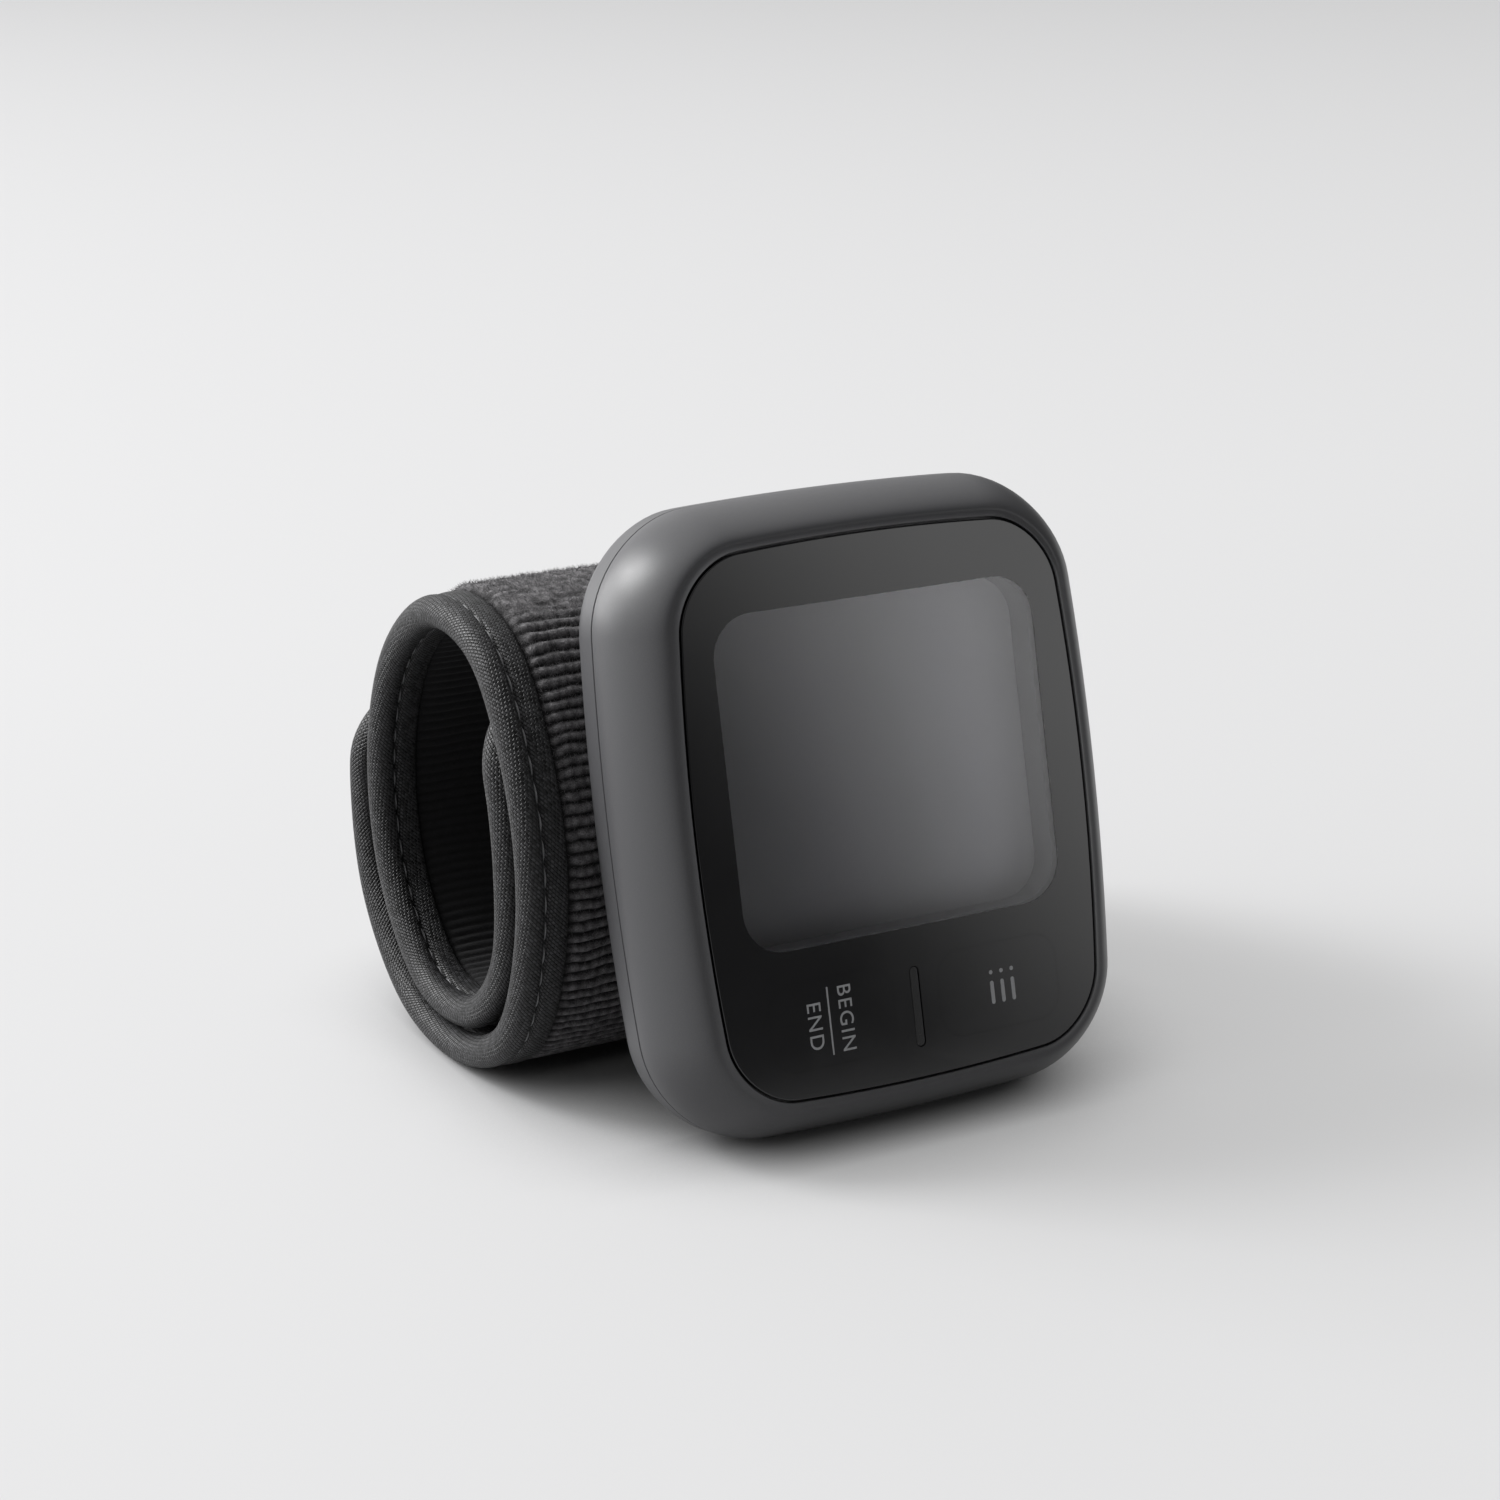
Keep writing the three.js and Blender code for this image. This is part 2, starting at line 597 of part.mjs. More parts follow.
// Machine screw with its head at the back and a straight driver slot.
function screw([x, z], seat, length) {
  const head = seat + SCREW_HEAD_HEIGHT;
  const profile = [
    [0, seat - length], [SCREW_RADIUS, seat - length], [SCREW_RADIUS, seat],
    [SCREW_HEAD_RADIUS, seat], [SCREW_HEAD_RADIUS, head], [0, head],
  ];
  const slotHalf = SCREW_SLOT / 2;
  const span = [-2 * SCREW_HEAD_RADIUS, 2 * SCREW_HEAD_RADIUS];
  const slot = box(span, [head - SCREW_SLOT, head + SCREW_SLOT], [-slotHalf, slotHalf]);
  return shaped(turned(profile, FINE_ROUND), [], [slot]).translate(x, 0, z);
}

// Face pieces.
const keyCentres = { start_stop_key: [-KEY_X, KEY_Z], memory_key: [KEY_X, KEY_Z] };

function keyOutline(centre, grow) {
  const halves = [KEY_WIDTH / 2 + grow, KEY_HEIGHT / 2 + grow];
  return roundedOutline(halves[0], halves[1], KEY_CORNER + grow, centre);
}

function dividerOutline(grow) {
  const half = DIVIDER_WIDTH / 2 + grow;
  return roundedOutline(half, DIVIDER_LENGTH / 2 + grow, half, [0, DIVIDER_Z]);
}

function faceLens() {
  const plate = prism(headOutline(-PANEL_GAP, -PANEL_GAP), 0, LENS_THICKNESS);
  const holes = Object.values(keyCentres).map(
    (centre) => prism(keyOutline(centre, SLIDE), -HEAD_DEPTH, BEHIND),
  );
  const slot = prism(dividerOutline(SLIDE / 2), -HEAD_DEPTH, BEHIND);
  return shaped(plate, [], [...holes, slot]);
}

function keyCap(centre) {
  const cap = prism(keyOutline(centre, 0), 0, flangeFront + KEY_FLANGE_THICKNESS / 2);
  const flange = prism(keyOutline(centre, KEY_FLANGE), flangeFront, flangeBack);
  const stem = rod('y', KEY_STEM_RADIUS, [flangeFront, stemBack], centre, FINE_ROUND);
  return shaped(cap, [flange, stem], []);
}

function keyMat() {
  const halfWidth = KEY_X + KEY_WIDTH / 2 + MAT_MARGIN;
  const halfHeight = KEY_HEIGHT / 2 + MAT_MARGIN;
  const outline = roundedOutline(halfWidth, halfHeight, KEY_CORNER + MAT_MARGIN, [0, KEY_Z]);
  const holes = Object.values(keyCentres).map(
    (centre) => rod('y', KEY_STEM_RADIUS + SLIDE, [-HEAD_DEPTH, BEHIND], centre, FINE_ROUND),
  );
  return shaped(prism(outline, matFront, matBack), [], holes);
}

function keyBoard() {
  const halfWidth = KEY_X + SWITCH_SIZE;
  const outline = roundedOutline(halfWidth, SWITCH_SIZE, SWITCH_SIZE / 4, [0, KEY_Z]);
  return prism(outline, keyBoardFront, keyBoardBack);
}

function switchBody([x, z]) {
  const half = SWITCH_SIZE / 2;
  return box([x - half, x + half], [switchFront, switchBack], [z - half, z + half]);
}

// Display.
const windowCentre = [0, (WINDOW_TOP + WINDOW_BOTTOM) / 2];
const windowHalfHeight = (WINDOW_TOP - WINDOW_BOTTOM) / 2;

function windowOutline(grow, corner) {
  return roundedOutline(WINDOW_HALF_WIDTH + grow, windowHalfHeight + grow, corner, windowCentre);
}

function displayFrame() {
  const outside = prism(windowOutline(FRAME_WALL, WINDOW_CORNER + FRAME_WALL), frameFront, frameBack);
  return shaped(outside, [], [prism(windowOutline(0, WINDOW_CORNER), -HEAD_DEPTH, BEHIND)]);
}

function backlight() {
  const bottom = WINDOW_BOTTOM + CONNECTOR_HEIGHT + SEAT;
  const half = WINDOW_HALF_WIDTH - BACKLIGHT_MARGIN;
  return box([-half, half], [backlightFront, backlightBack], [bottom, WINDOW_TOP]);
}

function lcdConnector() {
  const half = WINDOW_HALF_WIDTH - BACKLIGHT_MARGIN;
  const heights = [WINDOW_BOTTOM, WINDOW_BOTTOM + CONNECTOR_HEIGHT];
  return box([-half, half], [backlightFront, boardFront - SEAT], heights);
}

// Electronics.
function mainBoard() {
  const plate = box([-boardHalfWidth, boardHalfWidth], [boardFront, boardBack],
    [BOARD_BOTTOM, BOARD_TOP]);
  const holes = boardScrews.map((at) => rod('y', screwBore, [0, BEHIND], at, FINE_ROUND));
  return shaped(plate, [], holes);
}

function controllerChip() {
  const half = CHIP_SIZE / 2;
  const depths = [boardBack + SEAT, boardBack + SEAT + CHIP_HEIGHT];
  return box([CHIP_X - half, CHIP_X + half], depths, [CHIP_Z - half, CHIP_Z + half]);
}

function batteryPad() {
  const margin = ([low, high]) => [low + BATTERY_PAD_MARGIN, high - BATTERY_PAD_MARGIN];
  return box(margin(batteryX), [padFront, padBack], margin(BATTERY_Z));
}

function batteryCell() {
  const halves = [(batteryX[1] - batteryX[0]) / 2, (BATTERY_Z[1] - BATTERY_Z[0]) / 2];
  const centre = [(batteryX[0] + batteryX[1]) / 2, (BATTERY_Z[0] + BATTERY_Z[1]) / 2];
  return prism(roundedOutline(halves[0], halves[1], 1, centre), batteryFront, rearSeat);
}

function chargeSocket() {
  const face = PANEL_HALF_WIDTH + FLARE_ACROSS - WALL;
  const start = face - SOCKET_LENGTH;
  const half = SOCKET_WIDTH / 2;
  const across = [SOCKET_Z - half, SOCKET_Z + half];
  const shell = box([start, face], [socketFront, socketFront + SOCKET_HEIGHT], across);
  const footDepths = [boardBack + SEAT, socketFront + SOCKET_WALL];
  const foot = box([start, start + SOCKET_FOOT], footDepths, across);
  const pocketStart = face - SOCKET_POCKET;
  const inner = [SOCKET_Z - half + SOCKET_WALL, SOCKET_Z + half - SOCKET_WALL];
  const heights = [socketFront + SOCKET_WALL, socketFront + SOCKET_HEIGHT - SOCKET_WALL];
  const pocket = box([pocketStart, face + SOCKET_LENGTH], heights, inner);
  const middle = socketFront + SOCKET_HEIGHT / 2;
  const tongueHeights = [middle - SOCKET_TONGUE / 2, middle + SOCKET_TONGUE / 2];
  const tongueAcross = [inner[0] + 2 * SOCKET_WALL, inner[1] - 2 * SOCKET_WALL];
  const tongue = box([pocketStart - SOCKET_WALL, face - SOCKET_WALL], tongueHeights, tongueAcross);
  const body = shaped(shell, [foot], [pocket]);
  return shaped(body, [tongue], []);
}

// Air system. The pump and the valve lie along X below the display, against the rear shell, and
// the pump fills the room behind the key board.
const pumpRadius = (rearSeat - keyBoardBack - PUMP_GAP) / 2;
const valveRadius = pumpRadius - VALVE_STEP;
const armatureRadius = pumpRadius - MOTOR_WALL - ARMATURE_GAP;
const chamberRadius = pumpRadius - PUMP_CHAMBER_WALL;
const plungerRadius = valveRadius - VALVE_WALL - PLUNGER_GAP;
const pumpY = rearSeat - pumpRadius;
const valveY = rearSeat - valveRadius;
const manifoldY = [rearSeat - MANIFOLD_DEPTH, rearSeat];
const portY = (manifoldY[0] + manifoldY[1]) / 2;
const manifoldZ = [strapHeadZ - MANIFOLD_HALF_HEIGHT, strapHeadZ + MANIFOLD_HALF_HEIGHT];
const pumpPortX = NOZZLE_X - PORT_SPREAD;
const valvePortX = NOZZLE_X + PORT_SPREAD;
const motorLength = MOTOR_X[1] - MOTOR_X[0];
const pumpHeadX = [MOTOR_X[0] - SEAT - PUMP_HEAD_LENGTH, MOTOR_X[0] - SEAT];
const pumpHeadTop = PUMP_Z + pumpRadius;
const valveTop = PUMP_Z + valveRadius;
const valvePortTop = (VALVE_X[0] + VALVE_X[1]) / 2;

// Turned piece laid along X, from a start, on the air system's centre line.
function laidAlongX(profile, start, depth) {
  return closed(turned(profile)).rotateZ(-Math.PI / 2).translate(start, depth, PUMP_Z);
}

function pumpMotor() {
  const inside = pumpRadius - MOTOR_WALL;
  return laidAlongX([
    [0, motorLength], [pumpRadius, motorLength], [pumpRadius, 0], [SHAFT_HOLE, 0],
    [SHAFT_HOLE, MOTOR_WALL], [inside, MOTOR_WALL], [inside, motorLength - MOTOR_WALL],
    [0, motorLength - MOTOR_WALL],
  ], MOTOR_X[0], pumpY);
}

function pumpRotor() {
  const armature = [MOTOR_X[0] + MOTOR_WALL + ARMATURE_CLEARANCE,
    MOTOR_X[1] - MOTOR_WALL - ARMATURE_CLEARANCE];
  const centre = [pumpY, PUMP_Z];
  const camStart = pumpHeadX[1] - PUMP_CHAMBER_DEPTH + SEAT + CAM_LENGTH / 4;
  const shaft = rod('x', SHAFT_RADIUS, [camStart, MOTOR_X[1] - MOTOR_WALL - SEAT], centre, FINE_ROUND);
  const core = rod('x', armatureRadius, armature, centre, FINE_ROUND);
  const cam = rod('x', CAM_RADIUS, [camStart, camStart + CAM_LENGTH], [pumpY, PUMP_Z + CAM_THROW]);
  return shaped(core, [shaft, cam], []);
}

function pumpHead() {
  const block = box(pumpHeadX, [pumpY - pumpRadius, rearSeat],
    [PUMP_Z - pumpRadius, pumpHeadTop]);
  const nipple = rod('z', NIPPLE_RADIUS, [PUMP_Z, pumpHeadTop + NIPPLE_LENGTH], [pumpPortX, portY],
    FINE_ROUND);
  const chamber = rod('x', chamberRadius,
    [pumpHeadX[1] - PUMP_CHAMBER_DEPTH, MOTOR_X[1]], [pumpY, PUMP_Z]);
  return shaped(block, [nipple], [chamber]);
}

function releaseValve() {
  const length = VALVE_X[1] - VALVE_X[0];
  const inside = valveRadius - VALVE_WALL;
  const body = laidAlongX([
    [0, length], [valveRadius, length], [valveRadius, 0], [SHAFT_HOLE, 0],
    [SHAFT_HOLE, VALVE_WALL], [inside, VALVE_WALL], [inside, length - VALVE_WALL],
    [0, length - VALVE_WALL],
  ], VALVE_X[0], valveY);
  const nipple = rod('z', NIPPLE_RADIUS, [valveTop - VALVE_WALL, valveTop + NIPPLE_LENGTH],
    [valvePortTop, valveY], FINE_ROUND);
  return shaped(body, [nipple], []);
}

function valvePlunger() {
  const start = VALVE_X[0] + VALVE_WALL + SEAT;
  const end = VALVE_X[1] - VALVE_WALL - PLUNGER_SPRING_ROOM - PLUNGER_TRAVEL;
  const disc = rod('x', plungerRadius, [start, end], [valveY, PUMP_Z], FINE_ROUND);
  const stem = rod('x', PLUNGER_ROD_RADIUS, [start - PLUNGER_ROD_LENGTH, (start + end) / 2],
    [valveY, PUMP_Z], FINE_ROUND);
  return shaped(disc, [stem], []);
}

function airManifold() {
  const block = box([NOZZLE_X - MANIFOLD_HALF_WIDTH, NOZZLE_X + MANIFOLD_HALF_WIDTH], manifoldY,
    manifoldZ);
  const below = [manifoldZ[0] - NIPPLE_LENGTH, strapHeadZ];
  const above = [strapHeadZ, manifoldZ[1] + NIPPLE_LENGTH];
  const nipples = [
    rod('z', NIPPLE_RADIUS, below, [pumpPortX, portY], FINE_ROUND),
    rod('z', NIPPLE_RADIUS, below, [valvePortX, portY], FINE_ROUND),
    rod('z', NIPPLE_RADIUS, above, [NOZZLE_X, portY], FINE_ROUND),
  ];
  const bore = rod('y', NOZZLE_RADIUS + SLIDE, [rearSeat - NOZZLE_REACH - SEAT, BEHIND],
    [NOZZLE_X, strapHeadZ]);
  return shaped(block, nipples, [bore]);
}

function pressureSensor() {
  const half = SENSOR_SIZE / 2;
  const depths = [boardBack + SEAT, boardBack + SEAT + SENSOR_HEIGHT];
  const can = box([NOZZLE_X - half, NOZZLE_X + half], depths, [SENSOR_Z - half, SENSOR_Z + half]);
  const nipple = rod('z', NIPPLE_RADIUS, [SENSOR_Z - half - NIPPLE_LENGTH, SENSOR_Z],
    [NOZZLE_X, portY], FINE_ROUND);
  return shaped(can, [nipple], []);
}

// Hoses push over the nipples at both ends.
function pumpHose() {
  const [low, high] = [pumpHeadTop + SEAT, manifoldZ[0] - SEAT];
  return hose([[pumpPortX, portY, low], [pumpPortX, portY, (low + high) / 2], [pumpPortX, portY, high]]);
}

function valveHose() {
  const [low, high] = [valveTop + SEAT, manifoldZ[0] - SEAT];
  const run = (low + high) / 2 - NIPPLE_LENGTH / 2;
  const bend = 3 * HOSE_RADIUS;
  return hose([
    [valvePortTop, valveY, low], [valvePortTop, valveY, low + NIPPLE_LENGTH],
    [valvePortTop - bend, portY, run], [0, portY, run], [valvePortX + bend, portY, run],
    [valvePortX, portY, high - NIPPLE_LENGTH], [valvePortX, portY, high],
  ]);
}

function sensorHose() {
  const [low, high] = [manifoldZ[1] + SEAT, SENSOR_Z - SENSOR_SIZE / 2 - SEAT];
  return hose([[NOZZLE_X, portY, low], [NOZZLE_X, portY, (low + high) / 2], [NOZZLE_X, portY, high]]);
}

// Nozzle: its flange lies in the former's plane and its tube reaches into the manifold.
function airNozzle() {
  const flangeBottom = strapFrontLine - formerInner + LAYER_GAP / 5;
  const flangeTop = strapFrontLine - formerOuter + LAYER_GAP / 2;
  const tip = rearSeat - NOZZLE_REACH;
  const profile = [
    [NOZZLE_BORE, tip], [NOZZLE_RADIUS, tip], [NOZZLE_RADIUS, flangeTop],
    [NOZZLE_FLANGE_RADIUS, flangeTop], [NOZZLE_FLANGE_RADIUS, flangeBottom],
    [NOZZLE_BORE, flangeBottom], [NOZZLE_BORE, tip],
  ];
  return turned(profile).translate(NOZZLE_X, 0, strapHeadZ);
}

function nozzleSeal() {
  const back = HEAD_DEPTH - SEAT / 2;
  const inner = NOZZLE_RADIUS + SLIDE / 2;
  const front = back - SEAL_THICKNESS + SEAT / 2;
  const profile = [
    [inner, front], [SEAL_RADIUS, front], [SEAL_RADIUS, back], [inner, back], [inner, front],
  ];
  return turned(profile).translate(NOZZLE_X, 0, strapHeadZ);
}

// Cuff pieces.
function cuffFormer() {
  const stations = stretchStations(strapAtHead - FORMER_REACH, strapAtHead + FORMER_REACH,
    FORMER_HALF_WIDTH, false);
  const plate = layer(stations, formerInner, formerOuter);
  const pegs = [-1, 1].map((side) => rod('y', PEG_RADIUS,
    [HEAD_DEPTH - PEG_BITE, strapFrontLine - formerInner - FORMER_THICKNESS / 3],
    [side * PEG_X, strapHeadZ], FINE_ROUND));
  const hole = rod('y', NOZZLE_FLANGE_RADIUS + SLIDE, [HEAD_DEPTH, strapFrontLine + ROLL_HALF],
    [NOZZLE_X, strapHeadZ]);
  return shaped(plate, pegs, [hole]);
}

function airBladder() {
  const stations = stretchStations(strapAtHead - BLADDER_BEFORE, strapAtHead + BLADDER_AFTER,
    BLADDER_HALF_WIDTH, false);
  return layer(stations, bladderInner, bladderOuter);
}

function cuffCover() {
  const stations = stretchStations(sheetInset, strapFold - FOLD_GAP / 2, sheetHalf, true);
  const reach = [HEAD_DEPTH, strapFrontLine - coverInner + LAYER_GAP / 2];
  const holes = [-1, 1].map((side) => rod('y', PEG_RADIUS + SLIDE, reach,
    [side * PEG_X, strapHeadZ], FINE_ROUND));
  holes.push(rod('y', NOZZLE_RADIUS + SLIDE, reach, [NOZZLE_X, strapHeadZ]));
  return shaped(layer(stations, coverInner, coverOuter), [], holes);
}

function cuffLining() {
  const stations = stretchStations(sheetInset, strapFold - FOLD_GAP / 2, sheetHalf, true);
  return layer(stations, liningInner, liningOuter);
}

function tailLayer(inner, outer) {
  const stations = stretchStations(strapLength - sheetInset, strapFold + FOLD_GAP / 2, sheetHalf, true);
  return layer(stations, inner, outer);
}

function hookPatch() {
  const end = strapLength - sheetInset - HOOK_MARGIN;
  const stations = stretchStations(end, end - HOOK_LENGTH, sheetHalf - HOOK_MARGIN, true);
  return layer(stations, hookOuter - HOOK_THICKNESS, hookOuter);
}

// Assembly. Colours are the finishes seen from outside, or usual ones for what is hidden.
piece('front_shell', frontShell(), 0x58595c, 0.42, 0.35);
piece('rear_shell', rearShell(), 0x535457, 0.45, 0.35);
piece('face_lens', faceLens(), 0x131417, 0.08);
for (const [name, centre] of Object.entries(keyCentres)) piece(name, keyCap(centre), 0x131417, 0.1);
piece('key_divider', prism(dividerOutline(0), DIVIDER_SINK, LENS_THICKNESS), 0x3a3b3e, 0.4);
piece('key_mat', keyMat(), 0x2c2d30, 0.8);
piece('key_board', keyBoard(), 0x1f5a3a, 0.6);
piece('start_switch', switchBody(keyCentres.start_stop_key), 0xb9bcc0, 0.35, 0.8);
piece('memory_switch', switchBody(keyCentres.memory_key), 0xb9bcc0, 0.35, 0.8);
piece('display_frame', displayFrame(), 0x6a6b6e, 0.6);
piece('lcd_glass', prism(windowOutline(LCD_OVERLAP, LCD_CORNER), lcdFront, lcdBack), 0x7d8083, 0.25);
piece('lcd_backlight', backlight(), 0xe9ebec, 0.5);
piece('lcd_connector', lcdConnector(), 0x8f6f86, 0.8);
piece('main_board', mainBoard(), 0x1f5a3a, 0.6);
piece('controller_chip', controllerChip(), 0x17181a, 0.5);
piece('battery_pad', batteryPad(), 0x3d4044, 0.9);
piece('battery_cell', batteryCell(), 0xaeb4ba, 0.4, 0.6);
piece('charge_socket', chargeSocket(), 0xb4b7ba, 0.3, 0.9);
shellScrews.forEach((at, i) => {
  piece(`shell_screw_${i + 1}`, screw(at, screwSeat, SHELL_SCREW_LENGTH), 0x3f4144, 0.35, 0.9);
});
boardScrews.forEach((at, i) => {
  piece(`board_screw_${i + 1}`, screw(at, boardBack + SEAT, BOARD_SCREW_LENGTH), 0xa9acb0, 0.3, 0.9);
});
piece('pump_motor', pumpMotor(), 0xc2c5c8, 0.3, 0.9);
piece('pump_rotor', pumpRotor(), 0x9a6a3a, 0.4, 0.6);
piece('pump_head', pumpHead(), 0xd9d9d4, 0.5);
piece('release_valve', releaseValve(), 0x2a2c30, 0.45);
piece('valve_plunger', valvePlunger(), 0xc2c5c8, 0.3, 0.9);
piece('air_manifold', airManifold(), 0xd9d9d4, 0.5);
piece('pressure_sensor', pressureSensor(), 0x24262a, 0.45);
piece('pump_hose', pumpHose(), 0xd8d2c6, 0.6);
piece('valve_hose', valveHose(), 0xd8d2c6, 0.6);
piece('sensor_hose', sensorHose(), 0xd8d2c6, 0.6);
piece('air_nozzle', airNozzle(), 0x2c2d30, 0.5);
piece('nozzle_seal', nozzleSeal(), 0x1b1c1e, 0.85);
piece('cuff_former', cuffFormer(), 0x3c3e42, 0.5);
piece('air_bladder', airBladder(), 0x7e8a92, 0.6);
piece('cuff_cover', cuffCover(), 0x2b2a2b, 0.95);
piece('cuff_lining', cuffLining(), 0x222224, 0.9);
piece('edge_binding', binding(0, strapFold - FOLD_GAP / 2), 0x26272a, 0.85);
piece('tail_cover', tailLayer(coverInner, coverOuter), 0x2b2a2b, 0.95);
piece('tail_lining', tailLayer(liningInner, liningOuter), 0x222224, 0.9);
piece('tail_binding', binding(strapLength, strapFold + FOLD_GAP / 2), 0x26272a, 0.85);
piece('hook_patch', hookPatch(), 0x1c1c1e, 0.9);

console.log(`strap length ${strapLength.toFixed(1)} mm, least gap between its passes `
  + `${leastPassGap().toFixed(2)} mm`);

// The origin is the middle of the foot of the whole part, on the table that it stands on.
const group = new THREE.Group();
group.add(device);
const bounds = new THREE.Box3().setFromObject(group, true);
const middle = bounds.getCenter(new THREE.Vector3());
device.position.set(-middle.x, -middle.y, -bounds.min.z);

export default group;
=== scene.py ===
import bisect
import json
import math

import bpy
from mathutils import Matrix, Vector, noise


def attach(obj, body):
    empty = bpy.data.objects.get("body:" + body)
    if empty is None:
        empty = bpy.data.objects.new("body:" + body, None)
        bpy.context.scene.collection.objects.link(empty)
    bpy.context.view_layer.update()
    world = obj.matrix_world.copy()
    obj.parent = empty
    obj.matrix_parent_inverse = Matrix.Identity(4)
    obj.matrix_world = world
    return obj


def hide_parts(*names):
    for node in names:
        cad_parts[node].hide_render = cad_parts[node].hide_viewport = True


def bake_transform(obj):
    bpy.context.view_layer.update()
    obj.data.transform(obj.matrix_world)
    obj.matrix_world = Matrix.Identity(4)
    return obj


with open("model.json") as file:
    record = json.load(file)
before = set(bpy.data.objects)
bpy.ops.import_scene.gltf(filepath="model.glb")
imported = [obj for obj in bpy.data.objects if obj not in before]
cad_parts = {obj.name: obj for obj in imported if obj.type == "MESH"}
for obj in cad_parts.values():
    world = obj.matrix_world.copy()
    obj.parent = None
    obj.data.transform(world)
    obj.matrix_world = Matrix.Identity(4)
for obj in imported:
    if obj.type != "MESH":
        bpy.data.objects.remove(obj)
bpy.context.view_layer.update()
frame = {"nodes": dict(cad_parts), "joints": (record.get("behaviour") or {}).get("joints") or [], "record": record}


# Rear shell: the back half of the head, a shallow tray moulded in ABS and sprayed satin grey.
# Four screws pull it up to the front shell from behind, and the charge socket looks out through a
# slot in its right side.
# Sizes are in millimetres, and MM turns them into the scene's metres.
MM = 0.001
WELD = 1e-7
PANEL_HALF = (25.6, 31.5)
PANEL_CORNER = 8
PANEL_BOW = (1.8, 1.1)
CORNER_GROWTH = 0.9
FLARE = (5.7, 5.0)
WALL = 1.7
HEAD_DEPTH = 15.5
BACK_ROUND = 3.0
SEAM_FRONT = 9.8
SEAM_BACK = 10.0
SEAM_EDGE = 0.06
SCREW_PLACE = (22, 26.3)
SCREW_SIDES = ((-1, 1), (1, 1), (-1, -1), (1, -1))
SCREW_SEAT = 14.3
SCREW_WELL_RADIUS = 2.05
SOCKET_DEPTHS = (11.0, 13.6)
SOCKET_UP = (-9.7, -2.3)
SOCKET_FACE = 29.6
SLOT_CLEARANCE = 0.25
SLOT_REACH = (SOCKET_FACE - 3, SOCKET_FACE + 4)
# A full round end keeps a hair of flat, so that its two bevels don't meet.
END_FLAT = 0.02
RIM_ANGLE = math.radians(60)

# The head leans back as it stands: its keys travel into it, and its face mount lies on its face.
FACE_MOUNT_UP = 5
into_head = Vector(frame["joints"][0]["axis"])
up_face = Vector((0, -into_head.z, into_head.y))
face_origin = Vector(frame["record"]["mounts"][0]["pos_m"]) - up_face * (FACE_MOUNT_UP * MM)
head_turn = Matrix((Vector((1, 0, 0)), up_face, -into_head)).transposed().to_4x4()
head_seat = Matrix.Translation(face_origin) @ head_turn @ Matrix.Scale(MM, 4)


def in_head(across, up, depth):
    """Place in the scene of a point of the head: across its face, up it and behind it, in mm."""
    return head_seat @ Vector((across, up, -depth))


def laid_sheet(name, columns, rows, spot, chart=None, painted_shade=None, crease=35):
    """A grid of faces with each corner laid at spot(column, row), joined where corners meet.
    chart(column, row) gives the corner's place on the flat cloth in mm, as its UV, and
    painted_shade(column, row) a shade from 0 to 1 that its material paints into its colour."""
    bpy.ops.object.select_all(action="DESELECT")
    bpy.ops.mesh.primitive_grid_add(x_subdivisions=columns, y_subdivisions=rows, size=2)
    sheet = bpy.context.object
    sheet.name = name
    sheet.data.name = name
    cells = []
    for corner in sheet.data.vertices:
        column = round((corner.co.x + 1) / 2 * columns)
        row = round((corner.co.y + 1) / 2 * rows)
        cells.append((column, row))
    if chart:
        flat = sheet.data.uv_layers.active.data
        for loop in sheet.data.loops:
            flat[loop.index].uv = chart(*cells[loop.vertex_index])
    if painted_shade:
        shades = sheet.data.attributes.new("painted_shade", "FLOAT", "POINT")
        for shade, cell in zip(shades.data, cells):
            shade.value = painted_shade(*cell)
    for corner, cell in zip(sheet.data.vertices, cells):
        corner.co = spot(*cell)
    bpy.ops.object.mode_set(mode="EDIT")
    bpy.ops.mesh.select_all(action="SELECT")
    bpy.ops.mesh.remove_doubles(threshold=WELD)
    bpy.ops.mesh.fill_holes(sides=0)
    bpy.ops.mesh.select_all(action="SELECT")
    bpy.ops.mesh.normals_make_consistent(inside=False)
    bpy.ops.object.mode_set(mode="OBJECT")
    bpy.ops.object.shade_smooth_by_angle(angle=math.radians(crease))
    return sheet


def head_outline(grow_across, grow_up, corner_steps=16, side_steps=12):
    """Outline of the head's section, grown from the panel's edge: round corners, bowed sides."""
    corner = PANEL_CORNER + CORNER_GROWTH * (grow_across + grow_up) / 2
    half = (PANEL_HALF[0] + grow_across, PANEL_HALF[1] + grow_up)
    middles = [(sx * (half[0] - corner), sy * (half[1] - corner))
               for sx, sy in ((1, 1), (-1, 1), (-1, -1), (1, -1))]
    points = []
    for turn, middle in enumerate(middles):
        for step in range(corner_steps + 1):
            angle = (turn + step / corner_steps) * math.pi / 2
            points.append((middle[0] + corner * math.cos(angle), middle[1] + corner * math.sin(angle)))
        angle = (turn + 1) * math.pi / 2
        ahead = middles[(turn + 1) % 4]
        end = (ahead[0] + corner * math.cos(angle), ahead[1] + corner * math.sin(angle))
        start = points[-1]
        for step in range(1, side_steps):
            share = step / side_steps
            points.append(tuple(a + (b - a) * share for a, b in zip(start, end)))
    return [(x - PANEL_BOW[0] * (y / half[1]) ** 2 * x / half[0],
             y - PANEL_BOW[1] * (x / half[0]) ** 2 * y / half[1]) for x, y in points]


def head_skin(name, stations, closed=False, crease=35):
    """Skin through sections of the head, each given as depth and growth across and up."""
    rings = [[in_head(x, y, depth) for x, y in head_outline(across, up)]
             for depth, across, up in stations]
    if closed:
        rings.append(rings[0])
    count = len(rings[0])
    return laid_sheet(name, count, len(rings) - 1, lambda c, r: rings[r][c % count], crease=crease)


